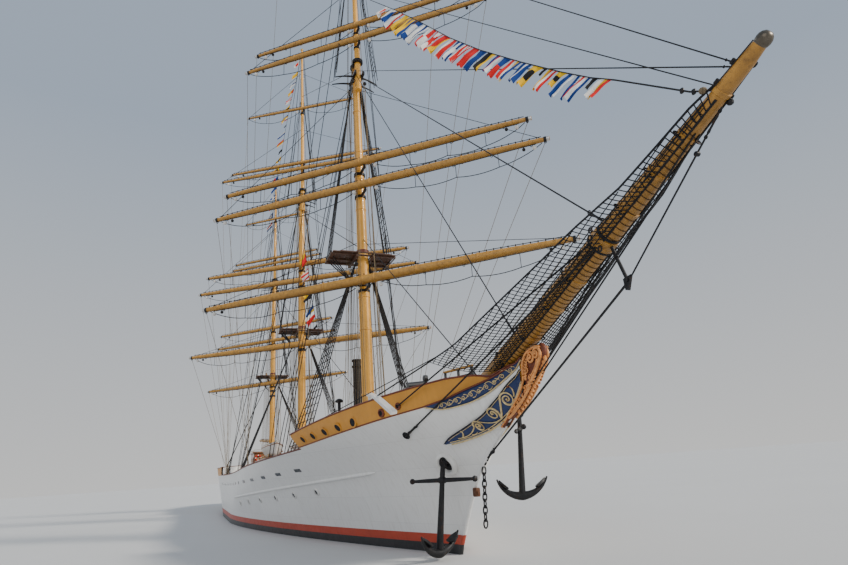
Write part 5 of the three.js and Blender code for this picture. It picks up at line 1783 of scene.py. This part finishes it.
def skylight(m, x0, x1, half, z):
    """A low coaming with sloping glazed flaps."""
    block(m, (x0, -half, z - 0.06), (x1, half, z + 0.3), 0.03, 4)
    for s in (-1, 1):
        for i in range(FLAPS):
            a, b = (mix(x0, x1, (i + k) / FLAPS) for k in (0.04, 0.96))
            put = placed((0, s * half * 0.5, z + 0.43), (1, 0, 0), unit((0, s * 0.5, 1)))
            block(m, (a, -half * 0.5, -0.05), (b, half * 0.5, 0.04), 0.02, 4, put)
            block(m, (a + 0.1, -half * 0.36, 0.0), (b - 0.1, half * 0.36, 0.05), 0.01, 5, put)


def pin_rail(m, a, b, z, posts, pins):
    """A rail on posts with belaying pins and the coils on them."""
    a, b = np.array((*a, z)), np.array((*b, z))
    d = unit(b - a)
    put = placed(a, d)
    length = float(np.linalg.norm(b - a))
    block(m, (-0.08, -0.09, -0.06), (length + 0.08, 0.09, 0.06), 0.02, 4, put)
    for i in range(posts):
        p = mix(a, b, i / (posts - 1))
        turned(m, p - (0, 0, 0.95), UP, [(0, 0.1), (0.05, 0.08), (0.9, 0.07), (0.98, 0.07)], 10, 4)
    for i in range(pins):
        p = mix(a, b, (i + 0.5) / pins)
        turned(m, p - (0, 0, 0.22), UP,
               [(0, 0.02), (0.18, 0.025), (0.24, 0.04), (0.4, 0.03), (0.45, 0.015)], 7, 6)
        u = unit(np.cross(d, UP))
        for k in range(3):
            c = p + u * (0.09 + 0.02 * k) - (0, 0, 0.26 + 0.02 * k)
            oval(m, c, np.array((0, 0, 0.24)), d * 0.08, 12, 0.024, 4, 7, u)


def deck_gear():
    m = Mesh()
    well, fore, poop = (plain_number(z_of) for z_of in (well_deck_z, fore_deck_z, poop_deck_z))
    for q in MASTS.values():
        z = q["foot"] + 0.98
        for y in (-0.95, 0.95):
            pin_rail(m, (q["x"] - 1.15, y), (q["x"] + 1.15, y), z, 2, 8)
        pin_rail(m, (q["x"] + 1.3, -0.9), (q["x"] + 1.3, 0.9), z, 2, 6)
    for x0, x1 in ((18.2, 23.6), (-3.2, 1.9)):
        for side in SIDES.values():
            a, b = (inboard_y(x, well(x), side, 0.42) for x in (x0, x1))
            pin_rail(m, (x0, a), (x1, b), well(20 if x0 > 0 else 0) + 0.78, 4, 14)
    hatch(m, 7.4, 10.6, 1.5, well(9))
    hatch(m, 3.0, 5.6, 1.4, well(4.3))
    hatch(m, 23.3, 24.9, 0.9, well(24.1))
    skylight(m, -17.8, -15.6, 0.9, poop(-16.7))
    skylight(m, -23.6, -21.9, 0.8, poop(-22.6))
    skylight(m, 26.6, 28.0, 0.6, fore(27.3))
    for x, y, z, h, r, face in ((11.2, 2.1, well(11.2), 1.9, 0.26, 1), (-1.6, 1.9, well(-1.6), 1.8, 0.24, 1),
                                (28.6, 1.3, fore(28.6), 1.1, 0.2, 1), (13.0, 1.6, ROOF_Z, 0.9, 0.2, 1),
                                (-29.6, 1.3, poop(-29.6), 1.0, 0.18, -1)):
        for side in (1, -1):
            ventilator(m, x, side * y, z, h, r, face)
    for side in SIDES.values():
        for x, z_of, inset in ((33.2, fore, 0.75), (26.9, fore, 0.8), (24.6, well, 0.75),
                               (-12.6, well, 0.7), (5.6, well, 0.7), (-16.0, poop, 0.8),
                               (-34.6, poop, 1.1)):
            bollards(m, x, inboard_y(x, z_of(x), side, inset), z_of(x) + 0.02)
    x, z = 31.75, fore(31.6)
    for y in (-0.75, 0.75):
        block(m, (x - 0.2, y - 0.12, z), (x + 0.2, y + 0.12, z + 1.15), 0.05, 0)
        turned(m, (x, y, z + 0.75), (0, 1 if y > 0 else -1, 0),
               [(0, 0.2), (0.1, 0.32), (0.2, 0.2), (0.45, 0.2), (0.5, 0.3), (0.56, 0.3)], 18, 0)
    line(m, (x, -1.2, z + 0.75), (x, 1.2, z + 0.75), 0.14, 18, 0)
    pin_rail(m, (33.9, -0.85), (33.9, 0.85), fore(33.9) + 1.0, 2, 6)
    pin_rail(m, (31.0, -1.0), (31.0, 1.0), fore(31.0) + 0.98, 2, 6)
    turned(m, (16.9, -0.5, ROOF_Z), UP,
           [(0, 0.13), (0.04, 0.1), (2.3, 0.1), (2.32, 0.24), (2.42, 0.26), (2.52, 0.16), (2.56, 0.03)], 18,
           0)
    x, z = -30.2, poop(-30.2)
    turned(m, (x, 0, z), UP, [(0, 0.24), (0.05, 0.2), (0.85, 0.17), (0.9, 0.24), (1.0, 0.24)],
           20, 4)
    turned(m, (x, 0, z + 1.0), UP, [(0, 0.22), (0.1, 0.21), (0.2, 0.14), (0.26, 0.03)], 20, 6)
    make(m, "deck_gear", [IRON, HOUSE, COVER, RED, TEAK, GLASS, BRASS, HEMP])


def forecastle_gear():
    """A pin rail with a tan beam before the foremast's stay, and a covered winch."""
    m = Mesh()
    a, b = np.array((33.9, -0.75, 6.12)), np.array((35.1, -0.2, 6.16))
    for t in (0.04, 0.5, 0.96):
        p = mix(a, b, t)
        line(m, (p[0], p[1], 4.75), p, 0.05, 8, 0)
    line(m, a - (0, 0, 0.28), b - (0, 0, 0.28), 0.045, 8, 0)
    line(m, a, b, 0.045, 12, 1)
    block(m, (31.0, -1.05, 4.75), (31.6, -0.55, 5.95), 0.08, 0)
    line(m, (31.3, -1.2, 6.05), (31.3, -0.4, 6.12), 0.14, 16, 0)
    line(m, (32.1, -0.8, 4.75), (32.25, -0.8, 6.25), 0.05, 10, 0)
    turned(m, (32.25, -0.9, 6.2), TO_PORT, [(0, 0.05), (0.02, 0.12), (0.16, 0.12), (0.18, 0.05)], 14, 0)
    make(m, "forecastle_pin_rail_and_winch", [BLACK, YARD])


def skiff(name, x0, x1, y, z, beam, cover):
    """A small open boat on chocks under a canvas cover."""
    m = Mesh()
    half = 24
    levels = [(h, beam * w) for h, w in ((0, 0.15), (0.08, 0.45), (0.25, 0.75), (0.5, 0.95), (0.68, 1.0))]
    rings = boat_rings(x0, x1, y, z, levels, half, 0.03, 2.8, 0.12, 0.2)
    loft(m, rings, 0)
    tube(m, rings[-1], 0.04, 8, 1, ring=True)
    for x in (mix(x0, x1, 0.25), mix(x0, x1, 0.75)):
        block(m, (x - 0.08, y - beam * 0.7, z - 0.12), (x + 0.08, y + beam * 0.7, z + 0.12), 0.03, 1)
    make(m, name, [IRON, TEAK])
    c = Mesh()
    top = rings[-1] * (1, 1.02, 1)
    top[:, 1] = y + (rings[-1][:, 1] - y) * 1.05
    rows = [top - (0, 0, 0.14)] + crowned(top, y, 0.05, 0.34)
    loft(c, rows, 0, caps=False)
    piece = make(c, name + "_cover", [cover], sharp=60)
    girth = 2 * sum(np.linalg.norm(b[half // 2] - a[half // 2]) for a, b in zip(rows, rows[1:]))


def life_rings():
    m = Mesh()
    u, w = across(AHEAD)
    for x, y, z in ((18.66, -1.5, 4.2), (18.66, 1.5, 4.2), (-24.34, -1.2, 5.6), (-24.34, 1.2, 5.6)):
        c = np.array((x + 0.07, y, z))
        for k in range(4):
            start, end = k * TURN / 4, (k + 1) * TURN / 4
            for angles, r, mark in ((np.linspace(start + 0.2, end - 0.2, 8), 0.075, 0),
                                    (np.linspace(end - 0.2, end + 0.2, 4), 0.08, 1)):
                tube(m, [c + (u * math.cos(q) + w * math.sin(q)) * 0.31 for q in angles], r, 10, mark)
    make(m, "life_rings", [FLAG["red"], HOUSE])


def helm():
    box_piece = Mesh()
    x, z = -31.2, float(poop_deck_z(-31.2))
    block(box_piece, (x + 0.35, -0.35, z), (x + 1.35, 0.35, z + 1.3), 0.05, 0)
    block(box_piece, (x + 0.28, -0.42, z + 1.28), (x + 1.42, 0.42, z + 1.4), 0.04, 0)
    turned(box_piece, (x + 0.2, 0, z + 1.1), AHEAD, [(0, 0.1), (0.02, 0.14), (0.35, 0.14)], 18, 1)
    make(box_piece, "helm_gear_box", [TEAK, BRASS], "varnished_wood", replaces=["helm_box"])
    w = Mesh()
    c = np.array((x + 0.02, 0, z + 1.1))
    for r, thick in ((0.52, 0.05), (0.3, 0.03)):
        tube(w, circle(c, TO_PORT, UP, r, sides=32), thick, 8, ring=True, up=AHEAD)
    for i in range(8):
        a = i * math.pi / 4
        d = np.array((0, math.cos(a), math.sin(a)))
        turned(w, c, d, [(0.1, 0.03), (0.3, 0.025), (0.5, 0.035), (0.56, 0.02), (0.62, 0.035),
                         (0.7, 0.03), (0.72, 0.01)], 10)
    collar(w, c - (0.1, 0, 0), AHEAD, 0.08, 0.06, 0.2, 18, 1, 0.02)
    line(w, c, c + (0.48, 0, 0), 0.05, 12, 1)
    make(w, "steering_wheel", [TEAK, BRASS], "varnished_wood", "helm_wheel", ["helm_wheel"])


def rudder():
    m = Mesh()
    rx = -31.75
    outline = [(rx + 0.2, -0.86), (rx - 1.0, -0.86), (rx - 1.35, -1.25), (rx - 1.5, -1.6), (rx - 1.62, -2.8),
               (rx - 1.7, -4.0), (rx - 1.55, -4.4), (rx - 1.2, -4.7), (rx + 0.2, -4.7)]
    loft(m, [[(mix(rx - 0.6, x, k), y, mix(-2.8, z, k)) for x, z in outline]
             for y, k in ((-0.12, 0.97), (-0.09, 1), (0.09, 1), (0.12, 0.97))])
    line(m, (rx, 0, -4.2), (rx, 0, -0.7), 0.075, 12)
    for z in (-1.5, -3.9):
        for y in (-0.14, 0.14):
            block(m, (rx - 1.2, y - 0.02, z - 0.1), (rx - 0.34, y + 0.02, z + 0.1), 0.01)
    make(m, "rudder_blade", BLACK, "black_paint", "rudder", ["rudder"])


def capstan():
    m = Mesh()
    x = 29.6
    z = float(fore_deck_z(x)) + 0.07
    turned(m, (x, 0, z), UP, [(0, 0.48), (0.02, 0.5), (0.1, 0.5), (0.13, 0.42), (0.45, 0.27), (0.8, 0.36),
                              (0.82, 0.48), (1.0, 0.48), (1.05, 0.4), (1.07, 0.1)], 28)
    for i in range(6):
        a = i * math.pi / 3
        d = np.array((math.cos(a), math.sin(a), 0))
        put = placed((x, 0, z), d)
        block(m, (0.3, -0.045, 0.14), (0.42, 0.045, 0.78), 0.02, 0, put)
        block(m, (0.44, -0.06, 0.86), (0.495, 0.06, 0.97), 0.01, 1, put)
    make(m, "anchor_capstan", [STEEL, IRON], "grey_steel", "capstan", ["capstan"])


forecastle_gear()
for name, node, x0, x1, half, z0, top, paint, slot in (
        ("forward_house", "forward_deckhouse", 12.2, 18.6, 2.6, well_deck_z(15) - 0.05, 4.9, HOUSE,
         "white_paint"),
        ("midship_house", "midship_deckhouse", -12.4, -2.8, 2.5, well_deck_z(-7) - 0.05, 4.8, HOUSE,
         "white_paint"),
        ("chart_room", "chart_house", -28.6, -24.4, 1.7, poop_deck_z(-24.4) - 0.02, 6.29, TEAK,
         "varnished_wood")):
    house(name, node, x0, x1, half, float(z0), top, paint, slot)
for side in SIDES:
    boat(side)
funnel()
deck_gear()
skiff("skiff_starboard", 13.0, 17.4, -1.45, 5.1, 0.75, ORANGE)
skiff("skiff_port", 13.0, 17.4, 1.7, 5.1, 0.75, ORANGE)
life_rings()
helm()
rudder()
capstan()


# Dressing lines with generic signal flags
HEAD_LINE = [(21.05, 48.0), (23.1, 39.7), (25.12, 31.96), (29.42, 27.05), (32.59, 23.3), (35.45, 19.84),
             (37.66, 17.35), (39.94, 14.96), (41.69, 13.19), (42.76, 12.16), (43.54, 11.49),
             (45.37, 9.79), (45.85, 9.47)]
AFT_LINE = [(-0.9, 49.6, 0), (-3.26, 48.28, -0.05), (-8.51, 47.77, -0.12), (-12.58, 45.95, -0.18),
            (-16.04, 43.88, -0.22), (-22.3, 38.9, -0.3), (-24.1, 33.0, -0.3), (-23.5, 25.0, -0.3),
            (-21.4, 16.5, -0.3)]  # x, z and y
MIDSHIP_LINE = [(0.3, 26.0), (1.22, 24.52), (3.37, 21.32), (5.3, 17.61), (7.86, 14.25), (10.71, 8.8),
                (12.7, 4.95)]
# Pattern and colours of each flag on the head line, the lowest first
FLAGS = [("bands", "red yellow white", 1.0, 1.7), ("plain", "black", 0.55, 0.95),
         ("bands", "blue white red white blue", 1.25, 1.9), ("bands", "white blue", 0.7, 1.9),
         ("pales", "yellow black yellow", 0.9, 1.2), ("bands", "red white red yellow", 0.85, 1.7),
         ("plain", "black", 0.3, 0.6), ("ball", "yellow black", 1.1, 1.6),
         ("bands", "blue white blue", 1.0, 1.5), ("bands", "blue yellow white red", 1.1, 1.6),
         ("pales", "blue red", 0.9, 1.5), ("bands", "white red blue", 0.7, 1.3),
         ("bands", "yellow black", 1.0, 1.4), ("plain", "blue", 0.9, 1.5), ("plain", "red", 0.8, 1.4),
         ("stripes", "red white", 1.0, 1.4), ("cross", "blue white", 1.0, 1.4),
         ("bands", "red white", 0.8, 1.4), ("diagonal", "red yellow", 1.0, 1.3),
         ("saltire", "white red", 1.0, 1.4), ("quarters", "red white", 1.0, 1.3),
         ("bands", "white blue white", 1.0, 1.4), ("border", "blue white", 1.0, 1.3),
         ("stripes", "blue yellow", 1.0, 1.4), ("plain", "yellow", 0.8, 1.3),
         ("bands", "red white blue", 1.0, 1.5), ("diagonal", "white blue", 1.0, 1.3),
         ("border", "white red", 1.0, 1.3)]


def pattern(kind, count, u, v):
    """Which of a flag's colours covers a point: u out along the fly, v down the hoist."""
    du, dv = abs(u - 0.5), abs(v - 0.5)
    if kind in ("bands", "pales"):
        return min(count - 1, int((v if kind == "bands" else u) * count))
    if kind == "stripes":
        return int(v * 6) % 2
    if kind == "quarters":
        return int((u > 0.5) != (v > 0.5))
    return {"plain": 0, "cross": int(min(du, dv) < 0.12), "saltire": int(abs(du - dv) < 0.13),
            "ball": int(math.hypot(du, dv * 0.85) < 0.24), "border": int(max(du, dv) < 0.26),
            "diagonal": int(u > v)}[kind]


def flag(name, top, down, fly, kind, colours, hoist, length, seed, rope_name):
    """One flag hung by its hoist, with folds that grow towards the fly."""
    keys = colours.split()
    nu, nv = 26, 20
    m = Mesh()
    down, fly = unit(down), unit(fly)
    side_on = unit(np.cross(down, fly))
    points = []
    for i in range(nu + 1):
        for j in range(nv + 1):
            u, v = i / nu, j / nv
            narrow = 1 - (0.33 + 0.1 * math.sin(seed)) * u**0.8
            pleat = (0.13 * hoist * u * math.sin(TURN * (1.25 * v + 0.2 * seed))
                     + 0.03 * length * u * math.sin(7 * u + seed))
            droop = np.array((0, 0, -0.14 * u * u * length))
            hang = down * (0.5 + (v - 0.5) * narrow + 0.1 * math.sin(3 * u + seed) * u) * hoist
            points.append(top + hang + fly * u * length * 0.95 + side_on * pleat + droop)
    m.add(points, [])
    for i in range(nu):
        for j in range(nv):
            a = i * (nv + 1) + j
            m.faces.append((a, a + 1, a + nv + 2, a + nv + 1))
            m.marks.append(pattern(kind, len(keys), (i + 0.5) / nu, (j + 0.5) / nv))
    piece = make(m, name, [FLAG[k] for k in keys], sharp=80)


def at_points(table):
    return np.array([(q[0], q[2] if len(q) > 2 else 0, q[1]) for q in table], float)


def along_line(table, start, flags, shares):
    """Places flags one after another on a polyline: shares gives hoist, fly and gap at a way along it."""
    p = at_points(table)
    run = np.concatenate([[0], np.cumsum(np.linalg.norm(np.diff(p, axis=0), axis=1))])
    s = start
    for kind, colours, hoist, fly in flags:
        for_hoist, for_fly, gap = shares(s)
        hoist *= for_hoist
        if s + hoist > run[-1]:
            return
        a, b = (np.array([np.interp(v, run, p[:, c]) for c in range(3)]) for v in (s, s + hoist))
        yield a, b - a, kind, colours, hoist, fly * for_fly
        s += hoist + gap


def head_shares(s):
    """The head line's flags are small at the bowsprit, and far apart at the mast."""
    tables = (([0, 16], [0.45, 1]), ([0, 16, 24, 36], [0.45, 1, 0.6, 0.45]),
              ([0, 14, 22, 36], [0.08, 0.1, 0.6, 1.2]))
    return [float(np.interp(s, *q)) for q in tables]


def dressing_lines():
    small = FLAGS[::-3] + FLAGS[1::3]
    for name, table, whole, flags, start, fly, shares in (
            ("head_line", HEAD_LINE[-3::-1], HEAD_LINE, FLAGS, 0.1, (-0.2, -0.75, -0.63), head_shares),
            ("aft_line", AFT_LINE, AFT_LINE, small, 0.8, (-0.25, -0.7, -0.66), lambda s: (0.75, 0.7, 0.7)),
            ("midship_line", MIDSHIP_LINE, MIDSHIP_LINE, small[3:8], 3.0, (-0.25, -0.7, -0.66),
             lambda s: (1.6, 0.6, 0.9))):
        m = Mesh()
        tube(m, at_points(whole), 0.02, 6)
        if name == "head_line":
            for at in (45.2, 45.45):
                z = float(np.interp(at, *np.transpose(HEAD_LINE)))
                block(m, (at - 0.05, -0.03, z - 0.06), (at + 0.05, 0.03, z + 0.05), 0.02, 1)
        make(m, name, [TAR, IRON])
        for k, (top, down, *cloth) in enumerate(along_line(table, start, flags, shares)):
            flag(f"{name}_flag_{k + 1:02d}", top, down, fly, *cloth, 1.7 * k, name)


dressing_lines()


# Floor and lights
HORIZON = (0.93, 0.93, 0.92)
ZENITH = (0.50, 0.60, 0.74)
SKY_STRENGTH = 0.75
FLOOR_HALF = 4000
# Name, direction, power, spread in degrees, tint
SUNS = [("key", (0.6, 0.61, 0.5), 3.8, 10, (1, 0.94, 0.84)),
        ("fill", (0.6, -0.7, 0.35), 0.55, 40, (1, 0.98, 0.95)),
        ("back", (-0.8, -0.1, 0.5), 0.5, 40, (1, 1, 1))]


def plain(name, colour, rough=0.9):
    n = Nodes(name, colour, rough, spec=0.1)
    n.colour(n.ramp(n.noise(0.8, 2), [(0.3, shade(colour, 0.985)), (0.7, shade(colour, 1.01))]))
    return n.mat


def studio():
    m = Mesh()
    loft(m, [[(x, y, 0) for x in (-FLOOR_HALF, FLOOR_HALF)] for y in (-FLOOR_HALF, FLOOR_HALF)], closed=False)
    floor = make(m, "studio_floor", plain("floor_pale", (0.60, 0.60, 0.595)), body=None)
    world = bpy.data.worlds.new("studio")
    world.use_nodes = True
    tree = world.node_tree
    split = tree.nodes.new("ShaderNodeSeparateXYZ")
    tree.links.new(tree.nodes.new("ShaderNodeTexCoord").outputs["Generated"], split.inputs["Vector"])
    ramp = tree.nodes.new("ShaderNodeValToRGB")
    tree.links.new(split.outputs["Z"], ramp.inputs["Fac"])
    for mark, (at, colour) in zip(ramp.color_ramp.elements, ((0.0, HORIZON), (0.55, ZENITH))):
        mark.position, mark.color = at, (*colour, 1)
    back = tree.nodes["Background"]
    tree.links.new(ramp.outputs["Color"], back.inputs["Color"])
    back.inputs["Strength"].default_value = SKY_STRENGTH
    bpy.context.scene.world = world
    for name, towards, power, spread, tint in SUNS:
        data = bpy.data.lights.new(name, "SUN")
        data.energy, data.angle, data.color = power, math.radians(spread), tint
        lamp = bpy.data.objects.new(name, data)
        lamp.rotation_euler = Vector(towards).to_track_quat("Z", "Y").to_euler()
        lamp.location = Vector(towards) * 10
        bpy.context.scene.collection.objects.link(lamp)


studio()
